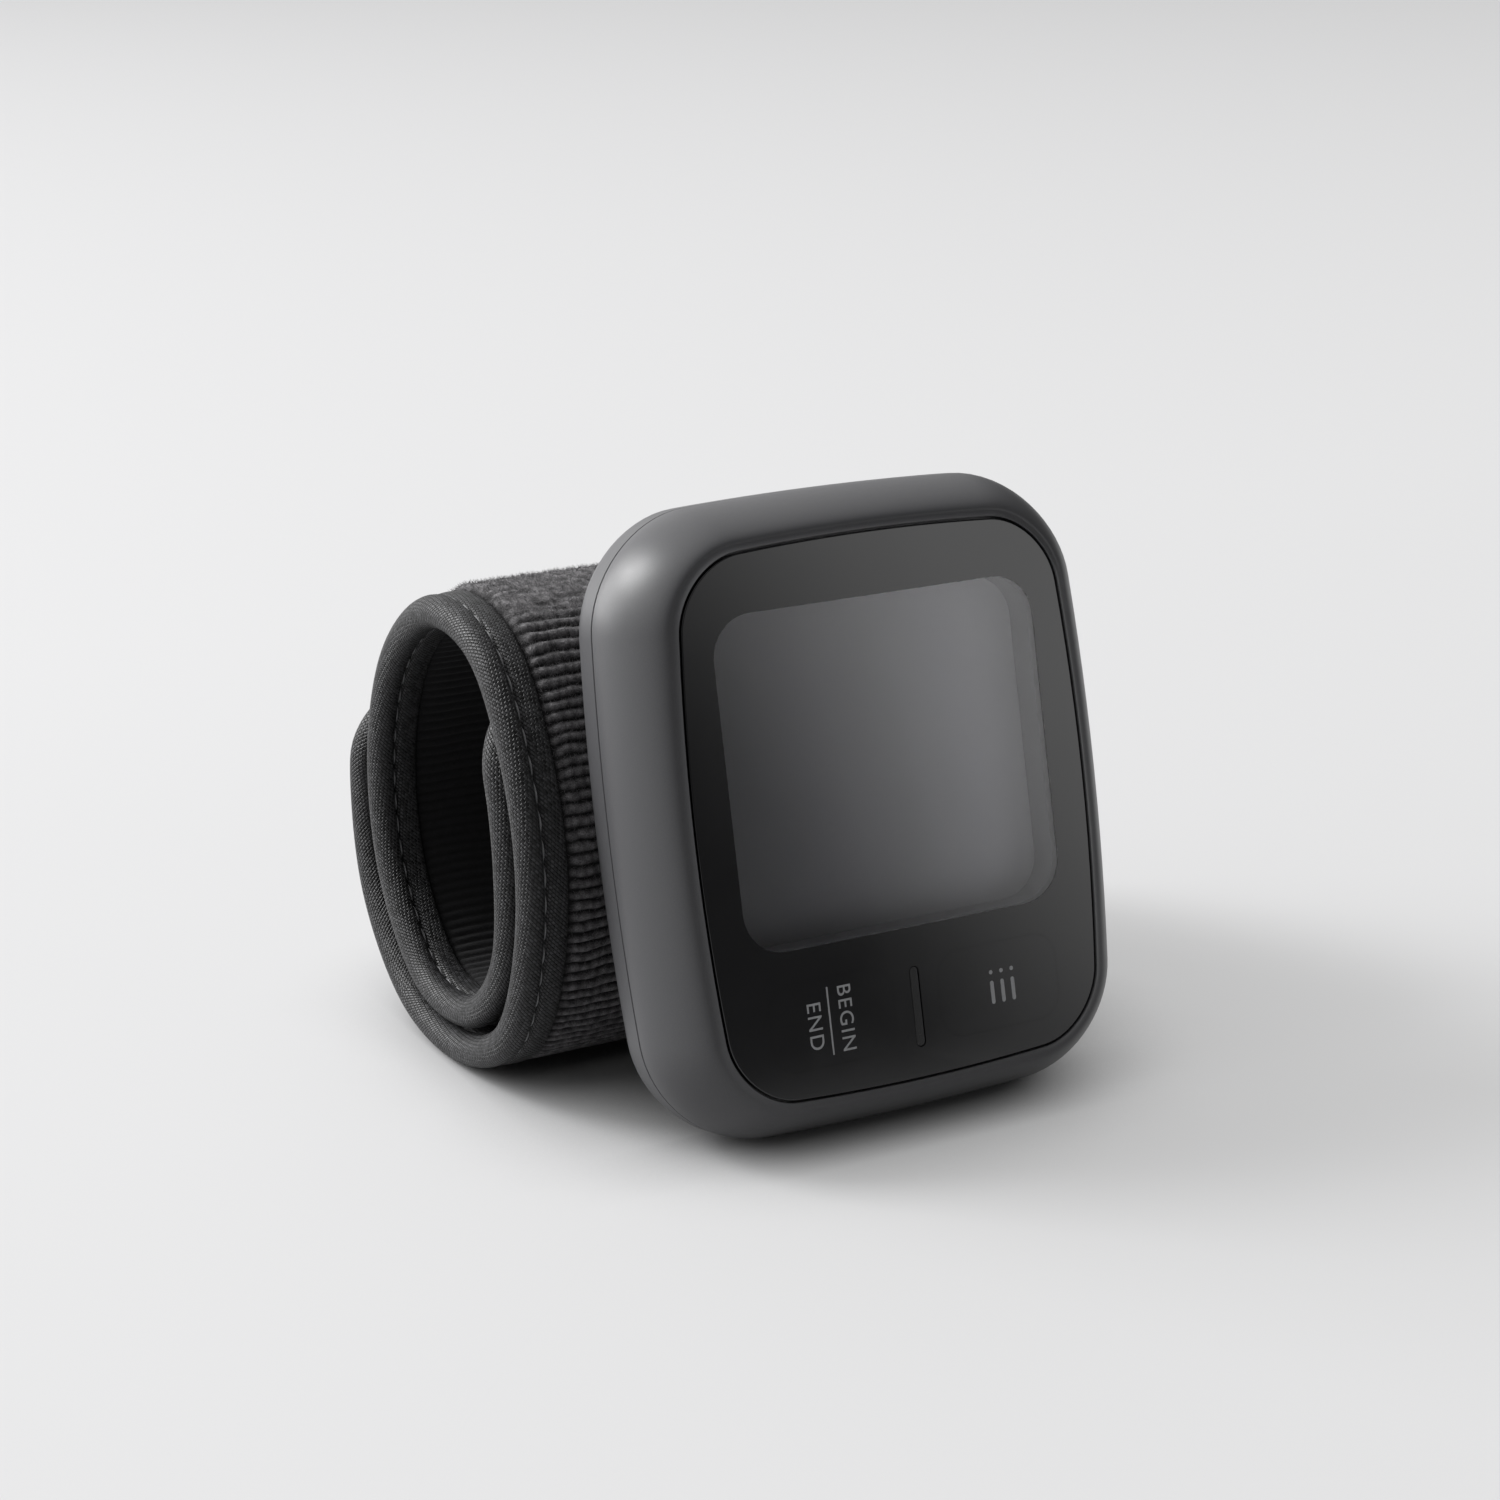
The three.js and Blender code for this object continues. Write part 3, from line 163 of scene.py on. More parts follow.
def smooth(piece, crease=35):
    """Smooth shading up to an angle, with broad flat faces kept flat up to their rounded rims."""
    bpy.ops.object.select_all(action="DESELECT")
    piece.select_set(True)
    bpy.context.view_layer.objects.active = piece
    bpy.ops.object.shade_smooth_by_angle(angle=math.radians(crease))
    level = piece.modifiers.new("level", "WEIGHTED_NORMAL")
    level.keep_sharp = True
    bpy.ops.object.modifier_apply(modifier=level.name)


def cut_out(piece, *cutters):
    """Cuts the cutters' shapes from a piece with booleans, and removes them."""
    for cutter in cutters:
        cut = piece.modifiers.new("cut", "BOOLEAN")
        cut.object = cutter
        bpy.context.view_layer.objects.active = piece
        bpy.ops.object.modifier_apply(modifier=cut.name)
        bpy.data.objects.remove(cutter)
    smooth(piece)
    return piece


def rounded_slab(name, middle, half, corner, depths, edge=0, segments=14):
    """Flat plate seated in the head: a plane with bevelled corners, drawn out to its thickness."""
    front, back = depths
    bpy.ops.object.select_all(action="DESELECT")
    bpy.ops.mesh.primitive_plane_add(size=2)
    slab = bpy.context.object
    slab.name = name
    slab.data.name = name
    bpy.ops.object.mode_set(mode="EDIT")
    bpy.ops.transform.resize(value=(half[0], half[1], 1))
    bpy.ops.mesh.bevel(offset=corner, segments=segments, affect="VERTICES", clamp_overlap=False)
    bpy.ops.mesh.select_all(action="SELECT")
    bpy.ops.mesh.extrude_region_move(TRANSFORM_OT_translate={"value": (0, 0, back - front)})
    bpy.ops.object.mode_set(mode="OBJECT")
    slab.data.transform(Matrix.Translation((middle[0], middle[1], -back)))
    if edge:
        rim = slab.modifiers.new("rim", "BEVEL")
        rim.width = edge
        rim.segments = 3
        rim.limit_method = "ANGLE"
        rim.angle_limit = RIM_ANGLE
        bpy.ops.object.modifier_apply(modifier=rim.name)
    bpy.ops.object.mode_set(mode="EDIT")
    bpy.ops.mesh.select_all(action="SELECT")
    bpy.ops.mesh.normals_make_consistent(inside=False)
    bpy.ops.object.mode_set(mode="OBJECT")
    slab.data.transform(head_seat)
    smooth(slab)
    return slab


def srgb(code):
    """Linear colour of an sRGB hex value such as #58595c."""
    parts = [int(code[i:i + 2], 16) / 255 for i in (1, 3, 5)]
    return tuple(c / 12.92 if c <= 0.04045 else ((c + 0.055) / 1.055) ** 2.4 for c in parts) + (1,)


def new_material(name, colour, roughness, sockets=None):
    """Principled material with its plain values set on the shader's own sockets."""
    made = bpy.data.materials.new(name)
    made.use_nodes = True
    surface = made.node_tree.nodes["Principled BSDF"]
    plain = {"Base Color": srgb(colour), "Roughness": roughness, **(sockets or {})}
    for socket, value in plain.items():
        surface.inputs[socket].default_value = value
    return made


def add_node(owner, kind, inputs=None, feeds=None, **settings):
    """Adds a node: settings on it, values or other nodes' outputs into its inputs, and the outputs
    named in feeds into the owner's shader."""
    tree = getattr(owner, "node_tree", owner)
    made = tree.nodes.new(kind)
    for key, value in settings.items():
        setattr(made, key, value)
    for socket, value in (inputs or {}).items():
        if isinstance(value, bpy.types.NodeSocket):
            tree.links.new(value, made.inputs[socket])
        else:
            made.inputs[socket].default_value = value
    for output, socket in (feeds or {}).items():
        shader = tree.nodes.get("Principled BSDF") or tree.nodes["Background"]
        tree.links.new(made.outputs[output], shader.inputs[socket])
    return made


def make_uneven(material, size, detail, colours=None, bump=None, roughness=None):
    """Makes a finish uneven with a grain of a size in mm: it mixes two colours, raises a bump, given
    as strength and height in mm, and spreads the roughness between two values."""
    place = add_node(material, "ShaderNodeTexCoord").outputs["Object"]
    grain = add_node(material, "ShaderNodeTexNoise",
                     {"Vector": place, "Scale": 1 / (size * MM), "Detail": detail}).outputs["Fac"]
    if colours:
        add_node(material, "ShaderNodeMixRGB",
                 {"Fac": grain, "Color1": srgb(colours[0]), "Color2": srgb(colours[1])},
                 {"Color": "Base Color"})
    if bump:
        add_node(material, "ShaderNodeBump",
                 {"Height": grain, "Strength": bump[0], "Distance": bump[1] * MM}, {"Normal": "Normal"})
    if roughness:
        add_node(material, "ShaderNodeMapRange",
                 {"Value": grain, "To Min": roughness[0], "To Max": roughness[1]},
                 {"Result": "Roughness"})


def dress(piece, material):
    """Gives a piece one material all over."""
    piece.data.materials.clear()
    piece.data.materials.append(material)


# Satin paint on moulded ABS: an even dark grey with a soft broad sheen, a faint orange-peel ripple
# about 0.8 mm across and flakes of about 0.12 mm that shift the tone a little.
PEEL = 0.8
FLAKE = 0.12
shell_paint = new_material("satin_grey_paint", "#4e4e50", 0.37, {"IOR": 1.42})
make_uneven(shell_paint, FLAKE, detail=1.0, colours=("#49494b", "#535355"))
make_uneven(shell_paint, PEEL, detail=2.0, bump=(0.35, 0.012), roughness=(0.34, 0.4))

BACK_STEPS = 10
back_stations = [(HEAD_DEPTH - WALL, *(f - WALL - BACK_ROUND / 2 for f in FLARE)),
                 (HEAD_DEPTH - BACK_ROUND, *(f - WALL for f in FLARE)),
                 (SEAM_BACK, *(f - WALL for f in FLARE)),
                 (SEAM_BACK, *(f - SEAM_EDGE for f in FLARE)),
                 (SEAM_BACK + SEAM_EDGE, *FLARE)]
for step in range(BACK_STEPS + 1):
    turn = step / BACK_STEPS * math.pi / 2
    pull = BACK_ROUND * (1 - math.cos(turn))
    depth = HEAD_DEPTH - BACK_ROUND * (1 - math.sin(turn))
    back_stations.append((depth, *(f - pull for f in FLARE)))
rear_shell = head_skin("rear_shell_moulding", back_stations)
wells = []
for sx, sz in SCREW_SIDES:
    bpy.ops.object.select_all(action="DESELECT")
    bpy.ops.mesh.primitive_cylinder_add(vertices=40, radius=SCREW_WELL_RADIUS, depth=HEAD_DEPTH,
                                        location=(sx * SCREW_PLACE[0], sz * SCREW_PLACE[1],
                                                  -SCREW_SEAT - HEAD_DEPTH / 2))
    bpy.ops.object.transform_apply(location=True, rotation=True, scale=True)
    wells.append(bpy.context.object)
    wells[-1].data.transform(head_seat)
slot_half = ((SOCKET_UP[1] - SOCKET_UP[0]) / 2 + SLOT_CLEARANCE,
             (SOCKET_DEPTHS[1] - SOCKET_DEPTHS[0]) / 2 + SLOT_CLEARANCE)
slot_middle = ((SOCKET_UP[0] + SOCKET_UP[1]) / 2, sum(SOCKET_DEPTHS) / 2)


def side_slab(name, half, corner, reach):
    """Rounded bar lying across the head at the charge socket, between two distances across."""
    bar = rounded_slab(name, (0, 0), half, corner, (0, reach[1] - reach[0]))
    bar.data.transform(head_seat.inverted())
    stand = Matrix(((0, 0, 1, reach[1]), (1, 0, 0, slot_middle[0]), (0, 1, 0, -slot_middle[1]),
                    (0, 0, 0, 1)))
    bar.data.transform(head_seat @ stand)
    return bar


slot_cutter = side_slab("slot_cutter", slot_half, slot_half[1] - END_FLAT, SLOT_REACH)
cut_out(rear_shell, *wells, slot_cutter)
dress(rear_shell, shell_paint)
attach(rear_shell, "head")
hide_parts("rear_shell")


# Front shell: the visible half of the head, moulded in ABS and painted with the rear shell. A thin
# lip frames the face panel, falls in a cove to a shallow valley, and the side flares to the seam.
LIP = 0.95
LIP_EDGE = 0.08
LEDGE_DEPTHS = (1.45, 2.65)
LEDGE_WIDTH = 2.2
VALLEY_DEPTH = 0.45
COVE_STEPS = 7
FLARE_STEPS = 24
FLARE_LINE = ((VALLEY_DEPTH, 0), (0.75, 1.4), (5.9, 4.75), (SEAM_FRONT - SEAM_EDGE, 4.75))


def on_flare(reach):
    """Growth across and up for a reach out of the lip: the sides flare further than the ends."""
    full = FLARE_LINE[-1][1]
    return tuple(LIP + (f - LIP) * reach / full for f in FLARE)


def curve_point(points, share):
    """Point on the smooth curve that four handles give, as by a pen tool."""
    rest = 1 - share
    weights = (rest ** 3, 3 * rest ** 2 * share, 3 * rest * share ** 2, share ** 3)
    return tuple(sum(w * p[i] for w, p in zip(weights, points)) for i in range(len(points[0])))


front_stations = [(LEDGE_DEPTHS[0], 0, 0), (LIP_EDGE, 0, 0)]
for step in range(COVE_STEPS):
    share = step / COVE_STEPS
    growth = LIP_EDGE + (LIP - LIP_EDGE) * share
    front_stations.append((VALLEY_DEPTH * (1 - (1 - share) ** 2), growth, growth))
for step in range(FLARE_STEPS + 1):
    depth, reach = curve_point(FLARE_LINE, step / FLARE_STEPS)
    front_stations.append((depth, *on_flare(reach)))
front_stations += [(SEAM_FRONT, *(f - SEAM_EDGE for f in FLARE)),
                   (SEAM_FRONT, *(f - WALL for f in FLARE)),
                   (FLARE_LINE[2][0], *(f - WALL for f in FLARE)),
                   (LEDGE_DEPTHS[1], LIP, LIP),
                   (LEDGE_DEPTHS[1], -LEDGE_WIDTH, -LEDGE_WIDTH),
                   (LEDGE_DEPTHS[0], -LEDGE_WIDTH, -LEDGE_WIDTH)]
front_shell = head_skin("front_shell_moulding", front_stations, closed=True)
dress(front_shell, shell_paint)
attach(front_shell, "head")
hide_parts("front_shell")


# Face lens: one flat plate of clear acrylic, bonded on the front shell's ledge. Its back is printed
# black except for the display window, so the border is a glossy black and the window stays clear.
PANEL_GAP = 0.25
LENS_THICKNESS = 1.2
LENS_EDGE = 0.14
LENS_EDGE_STEPS = 3
WINDOW_HALF = (20.8, 19.0)
WINDOW_MIDDLE = (0, 5.1)
WINDOW_CORNER = 5
PRINT_EDGE = 0.2
PRINT_RELIEF = 1.0
KEY_HALF = (8, 5)
KEY_CORNER = 3
KEY_MIDDLES = {"start": (-11, -22.6), "memory": (11, -22.6)}
KEY_HAIRLINE = 0.02
DIVIDER_HALF = (0.55, 4.6)
DIVIDER_MIDDLE = (0, -23.1)
DIVIDER_GAP = 0.08
DIVIDER_FLAT = 0.01
CUTTER_DEPTHS = (-2, 4)

lens_stations = [(LENS_THICKNESS, -PANEL_GAP, -PANEL_GAP), (LENS_EDGE, -PANEL_GAP, -PANEL_GAP)]
for step in range(1, LENS_EDGE_STEPS + 1):
    turn = step / LENS_EDGE_STEPS * math.pi / 2
    inset = PANEL_GAP + LENS_EDGE * (1 - math.cos(turn))
    lens_stations.append((LENS_EDGE * (1 - math.sin(turn)), -inset, -inset))
lens_border = head_skin("lens_border", lens_stations)
key_holes = [rounded_slab("key_hole", middle, [h + KEY_HAIRLINE for h in KEY_HALF],
                          KEY_CORNER + KEY_HAIRLINE, CUTTER_DEPTHS)
             for middle in KEY_MIDDLES.values()]
window_hole = rounded_slab("window_hole", WINDOW_MIDDLE, WINDOW_HALF, WINDOW_CORNER, CUTTER_DEPTHS)
# Behind its front skin the border is cut back further than the window, so that the frame's walls show.
print_relief = rounded_slab("print_relief", WINDOW_MIDDLE, [h + PRINT_RELIEF for h in WINDOW_HALF],
                            WINDOW_CORNER + PRINT_RELIEF, (PRINT_EDGE, CUTTER_DEPTHS[1]))
rib_hole = rounded_slab("rib_hole", DIVIDER_MIDDLE, [h + DIVIDER_GAP for h in DIVIDER_HALF],
                        DIVIDER_HALF[0] + DIVIDER_GAP - DIVIDER_FLAT, CUTTER_DEPTHS)
cut_out(lens_border, *key_holes, window_hole, print_relief, rib_hole)

# Acrylic over black print: nearly black with a clean mirror gloss. A handled panel is never quite
# even, so a faint wipe pattern about 9 mm across shifts the gloss.
WIPE = 9
lens_black = new_material("black_backed_acrylic", "#121214", 0.07, {"IOR": 1.52})
make_uneven(lens_black, WIPE, detail=3.0, colours=("#111113", "#151517"), roughness=(0.06, 0.11))
dress(lens_border, lens_black)
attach(lens_border, "head")
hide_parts("face_lens")

# Bare acrylic in the window: clear and smooth, with the same faint wipe pattern in its tint. It throws
# no shadow, so that the display behind it is lit as through thin clear plastic.
lens_window = rounded_slab("lens_window", WINDOW_MIDDLE, WINDOW_HALF, WINDOW_CORNER, (0, PRINT_EDGE))
lens_clear = new_material("clear_acrylic", "#f6f6f8", 0.0, {"IOR": 1.4, "Transmission Weight": 1.0})
make_uneven(lens_clear, WIPE, detail=3.0, colours=("#f2f2f4", "#fafafc"))
dress(lens_window, lens_clear)
lens_window.visible_shadow = False
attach(lens_window, "head")


# Keys: two caps of the same black acrylic, flush with the lens so that no outline shows, each on a
# silicone mat over its switch. Their legends are screen-printed in an even, matt, light grey ink.
KEY_DEPTHS = (0, 1.9)
INK_LIFT = 0.012
INK_GRAIN = 0.3
key_black = lens_black.copy()
key_black.name = "black_acrylic_key"
ink_grey = new_material("screen_print_ink", "#a4a5a7", 0.5)
make_uneven(ink_grey, INK_GRAIN, detail=2.0, colours=("#9c9d9f", "#adaeb0"))
for side, middle in KEY_MIDDLES.items():
    cap = rounded_slab(f"{side}_key_cap", middle, KEY_HALF, KEY_CORNER, KEY_DEPTHS)
    dress(cap, key_black)
    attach(cap, f"{side}_key")
    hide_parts("start_stop_key" if side == "start" else "memory_key")

WORD_HEIGHT = 1.75
WORD_SPACING = 1.15
WORDS = {"begin_legend": ("BEGIN", (-9.25, -22.6)), "end_legend": ("END", (-13.3, -22.9))}
RULE_MIDDLE = (-11.4, -22.6)
RULE_HALF = (0.1, 3.9)
LIST_ACROSS = (10.1, 11.5, 12.9)
LIST_LINE_UP = -23.35
LIST_LINE_HALF = (0.24, 1.35)
LIST_DOT_UP = -21.0
LIST_DOT_HALF = (0.24, 0.25)
BAR_END = 0.98


def inked_word(name, word, middle):
    """Word printed on a key, turned a quarter clockwise, as a mesh a hair proud of the cap."""
    bpy.ops.object.select_all(action="DESELECT")
    bpy.ops.object.text_add()
    text = bpy.context.object
    text.name = name
    text.data.body = word
    text.data.align_x = "CENTER"
    text.data.align_y = "CENTER"
    text.data.space_character = WORD_SPACING
    text.data.resolution_u = 6
    text.data.extrude = INK_LIFT
    bpy.ops.object.convert(target="MESH")
    text = bpy.context.object
    low = [min(v.co[i] for v in text.data.vertices) for i in (0, 1)]
    high = [max(v.co[i] for v in text.data.vertices) for i in (0, 1)]
    scale = WORD_HEIGHT / (high[1] - low[1])
    centre = Matrix.Translation((-(low[0] + high[0]) / 2, -(low[1] + high[1]) / 2, 0))
    grow = Matrix.Diagonal((scale, scale, 1, 1))
    turn = Matrix.Rotation(math.radians(-90), 4, "Z")
    text.data.transform(head_seat @ Matrix.Translation((*middle, 0)) @ turn @ grow @ centre)
    dress(text, ink_grey)
    return text


def inked_bar(name, middle, half):
    """Straight printed line with round ends."""
    bar = rounded_slab(name, middle, half, min(half) * BAR_END, (-INK_LIFT, INK_LIFT), segments=4)
    dress(bar, ink_grey)
    return bar


start_legend = [inked_word(name, word, middle) for name, (word, middle) in WORDS.items()]
start_legend.append(inked_bar("legend_rule", RULE_MIDDLE, RULE_HALF))
memory_legend = []
for number, across in enumerate(LIST_ACROSS):
    memory_legend.append(inked_bar(f"list_line_{number}", (across, LIST_LINE_UP), LIST_LINE_HALF))
    memory_legend.append(inked_bar(f"list_dot_{number}", (across, LIST_DOT_UP), LIST_DOT_HALF))
for legend, body in ((start_legend, "start_key"), (memory_legend, "memory_key")):
    for mark in legend:
        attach(mark, body)


# Key divider: a slim upright rib of smooth black rubber between the keys, so that a thumb can tell
# them apart. It is pressed into its slot in the lens and stands a little below the surface. Its skin
# is nearly as glossy as the lens, broken up by a fine moulded grain.
DIVIDER_DEPTHS = (0.1, 1.2)
DIVIDER_EDGE = 0.06
DIVIDER_GRAIN = 0.2
rib = rounded_slab("divider_rib", DIVIDER_MIDDLE, DIVIDER_HALF, DIVIDER_HALF[0] - DIVIDER_FLAT,
                   DIVIDER_DEPTHS, edge=DIVIDER_EDGE)
rib_rubber = new_material("smooth_rubber", "#0f0f11", 0.12, {"IOR": 1.5})
make_uneven(rib_rubber, DIVIDER_GRAIN, detail=2.0, bump=(0.3, 0.01))
dress(rib, rib_rubber)
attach(rib, "head")
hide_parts("key_divider")


# Display: a blank passive LCD behind a deep moulded frame whose grey walls show through the window.
# The frame is matt ABS with a fine moulded grain, and the panel is faced with a satin polariser film.
# The film's colour is a painted reflection of the bright panel at the front right: paler to the right,
# rising fastest towards the right wall, where it also paints over the wall's shade.
FRAME_WALL = 1.1
FRAME_DEPTHS = (1.3, 5.05)
FRAME_CUT = (0, 8)
FRAME_GRAIN = 0.25
LCD_DEPTHS = (5.3, 6.7)
LCD_OVERLAP = 0.7
LCD_EDGE = 0.1
FILM_REFLECTION_TINTS = ("#434344", "#9e9ea0")
REFLECTION_BEND = 1.6
recess = rounded_slab("display_recess", WINDOW_MIDDLE, [h + FRAME_WALL for h in WINDOW_HALF],
                      WINDOW_CORNER + FRAME_WALL, FRAME_DEPTHS)
cut_out(recess, rounded_slab("recess_hole", WINDOW_MIDDLE, WINDOW_HALF, WINDOW_CORNER, FRAME_CUT))
recess_grey = new_material("matt_grey_abs", "#6e6e70", 0.6)
make_uneven(recess_grey, FRAME_GRAIN, detail=3.0, bump=(0.4, 0.015))
dress(recess, recess_grey)
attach(recess, "head")
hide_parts("display_frame")

lcd = rounded_slab("lcd_panel", WINDOW_MIDDLE, [h + LCD_OVERLAP for h in WINDOW_HALF], WINDOW_CORNER,
                   LCD_DEPTHS, edge=LCD_EDGE)
lcd_grey = new_material("satin_polariser_film", "#6e6e70", 0.45, {"IOR": 1.4})
# Painted reflection: the film's colour runs from the first tint at its left edge to the second at its right.
film_place = add_node(lcd_grey, "ShaderNodeSeparateXYZ",
                      {"Vector": add_node(lcd_grey, "ShaderNodeTexCoord").outputs["Object"]})
reflection_share = add_node(lcd_grey, "ShaderNodeMapRange",
                      {"Value": film_place.outputs["X"], "From Min": -WINDOW_HALF[0] * MM,
                       "From Max": WINDOW_HALF[0] * MM})
reflection_bend = add_node(lcd_grey, "ShaderNodeMath", {0: reflection_share.outputs["Result"], 1: REFLECTION_BEND},
                     operation="POWER")
add_node(lcd_grey, "ShaderNodeMixRGB",
         {"Fac": reflection_bend.outputs["Value"], "Color1": srgb(FILM_REFLECTION_TINTS[0]),
          "Color2": srgb(FILM_REFLECTION_TINTS[1])}, {"Color": "Base Color"})
dress(lcd, lcd_grey)
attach(lcd, "head")
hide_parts("lcd_glass")


# Shell screws: four blackened steel machine screws with low heads and a driver slot, turned in from
# behind into the front shell's bosses. Each head sits sunk in its well. The blackening leaves a dark
# satin metal that the turning marks make a little uneven. One is modelled, and four copies are placed.
SCREW_HEAD = (1.8, 0.9)
SCREW_EDGE = 0.18
SCREW_SLOT = (0.25, 0.45)
SHANK = (0.95, 10)
TURNING = 0.15
FACES_FRONT = 0.9
screw_steel = new_material("blackened_steel", "#3c3e41", 0.36, {"Metallic": 1.0})
make_uneven(screw_steel, TURNING, detail=2.0, roughness=(0.3, 0.45))
bpy.ops.object.select_all(action="DESELECT")
bpy.ops.mesh.primitive_cylinder_add(vertices=36, radius=SCREW_HEAD[0], depth=SCREW_HEAD[1])
first_screw = bpy.context.object
first_screw.data.transform(Matrix.Translation((0, 0, -SCREW_SEAT - SCREW_HEAD[1] / 2)))
chamfer = first_screw.modifiers.new("chamfer", "BEVEL")
chamfer.width = SCREW_EDGE
chamfer.segments = 3
chamfer.angle_limit = RIM_ANGLE
bpy.ops.object.modifier_apply(modifier=chamfer.name)
bpy.ops.object.mode_set(mode="EDIT")
bpy.ops.mesh.select_all(action="DESELECT")
bpy.ops.object.mode_set(mode="OBJECT")
for face in first_screw.data.polygons:
    face.select = face.normal.z > FACES_FRONT
bpy.ops.object.mode_set(mode="EDIT")
bpy.ops.mesh.inset(thickness=SCREW_HEAD[0] - SCREW_EDGE - SHANK[0])
bpy.ops.mesh.extrude_region_move(TRANSFORM_OT_translate={"value": (0, 0, SHANK[1])})
bpy.ops.object.mode_set(mode="OBJECT")
bpy.ops.object.select_all(action="DESELECT")
bpy.ops.mesh.primitive_cube_add(size=1, location=(0, 0, -SCREW_SEAT - SCREW_HEAD[1]))
driver_slot = bpy.context.object
driver_slot.data.transform(Matrix.Diagonal((3 * SCREW_HEAD[0], 2 * SCREW_SLOT[0], 2 * SCREW_SLOT[1], 1)))
bpy.ops.object.transform_apply(location=True, rotation=True, scale=True)
cut_out(first_screw, driver_slot)


def copy_of(piece, name):
    """Copy of a piece, with a mesh of its own."""
    bpy.ops.object.select_all(action="DESELECT")
    piece.select_set(True)
    bpy.context.view_layer.objects.active = piece
    bpy.ops.object.duplicate()
    made = bpy.context.object
    made.name = name
    made.data.name = name
    return made


for number, (sx, sz) in enumerate(SCREW_SIDES, 1):
    screw = copy_of(first_screw, f"shell_screw_{number}_turned")
    screw.data.transform(head_seat @ Matrix.Translation((sx * SCREW_PLACE[0], sz * SCREW_PLACE[1], 0)))
    smooth(screw)
    dress(screw, screw_steel)
    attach(screw, "head")
    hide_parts(f"shell_screw_{number}")
bpy.data.objects.remove(first_screw)


# Charge socket: a drawn steel sleeve with round ends and a flat contact tongue inside, soldered on
# the main board and reached through the slot in the rear shell's right side. Drawing leaves the
# bright steel a little uneven.
SOCKET_WALL = 0.4
SOCKET_LENGTH = 7.6
SOCKET_BACK = 2
DRAWING = 0.4
BORE_OVERRUN = 2
TONGUE_HALF = (2.5, 0.3)
TONGUE_CORNER = 0.1
TONGUE_FOOT = 1.5
socket_half = ((SOCKET_UP[1] - SOCKET_UP[0]) / 2, (SOCKET_DEPTHS[1] - SOCKET_DEPTHS[0]) / 2)
sleeve_back = SOCKET_FACE - SOCKET_LENGTH
sleeve = side_slab("charge_socket_sleeve", socket_half, socket_half[1] - END_FLAT,
                   (sleeve_back, SOCKET_FACE))
bore_half = [h - SOCKET_WALL for h in socket_half]
cut_out(sleeve, side_slab("sleeve_bore", bore_half, bore_half[1] - END_FLAT,
                          (sleeve_back + SOCKET_BACK, SOCKET_FACE + BORE_OVERRUN)))
bright_steel = new_material("bright_steel", "#b7babd", 0.28, {"Metallic": 1.0})
make_uneven(bright_steel, DRAWING, detail=3.0, roughness=(0.22, 0.36))
dress(sleeve, bright_steel)
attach(sleeve, "head")
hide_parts("charge_socket")
tongue = side_slab("socket_tongue", TONGUE_HALF, TONGUE_CORNER,
                   (sleeve_back + TONGUE_FOOT, SOCKET_FACE - SOCKET_WALL))
dress(tongue, key_black)
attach(tongue, "head")


# Hidden pieces: boards, battery, pump, valve, hoses and the cuff's inner layers stay as the frame
# has them, each with the finish of what it is: its main and second colour, roughness, metallic, the
# size in mm of the fine grain that mixes them, and the pieces that have it.
hidden_finishes = {
    "soldermask_board": ("#1f5a3a", "#194c30", 0.5, 0.0, 1.2, ["key_board", "main_board"]),
    "plated_switch": ("#b9bcc0", "#a5a8ac", 0.3, 1.0, 0.3, ["start_switch", "memory_switch"]),
    "dark_silicone": ("#2c2d30", "#242528", 0.7, 0.0, 0.4, ["key_mat", "nozzle_seal"]),
    "white_diffuser": ("#e9ebec", "#dfe2e3", 0.5, 0.0, 2.0, ["lcd_backlight"]),
    "striped_elastomer": ("#8f6f86", "#5f4a5a", 0.8, 0.0, 0.2, ["lcd_connector"]),
    "black_epoxy": ("#17181a", "#1e2022", 0.5, 0.0, 0.2,
                    ["controller_chip", "pressure_sensor", "release_valve"]),
    "foam_pad": ("#3d4044", "#2f3236", 0.95, 0.0, 0.5, ["battery_pad"]),
    "pouch_foil": ("#aeb4ba", "#9ba1a7", 0.4, 0.8, 3.0, ["battery_cell"]),
    "zinc_plate": ("#a9acb0", "#999ca0", 0.32, 1.0, 0.3,
                   ["board_screw_1", "board_screw_2", "pump_motor", "valve_plunger"]),
    "copper_winding": ("#9a6a3a", "#7c5128", 0.4, 0.8, 0.3, ["pump_rotor"]),
    "white_acetal": ("#d9d9d4", "#cecec8", 0.5, 0.0, 0.6, ["pump_head", "air_manifold"]),
    "milky_silicone": ("#d8d2c6", "#cbc5b8", 0.55, 0.0, 0.8,
                       ["pump_hose", "valve_hose", "sensor_hose"]),
    "dark_nylon": ("#2c2d30", "#35363a", 0.5, 0.0, 0.5, ["air_nozzle"]),
    "grey_polypropylene": ("#3c3e42", "#46484c", 0.5, 0.0, 0.8, ["cuff_former"]),
    "urethane_film": ("#7e8a92", "#717d85", 0.55, 0.0, 1.5, ["air_bladder"]),
}
for name, (main, second, roughness, metallic, grain, nodes) in hidden_finishes.items():
    made = new_material(name, main, roughness, {"Metallic": metallic})
    make_uneven(made, grain, detail=2.0, colours=(main, second), bump=(0.2, 0.02))
    for node in nodes:
        dress(frame["nodes"][node], made)


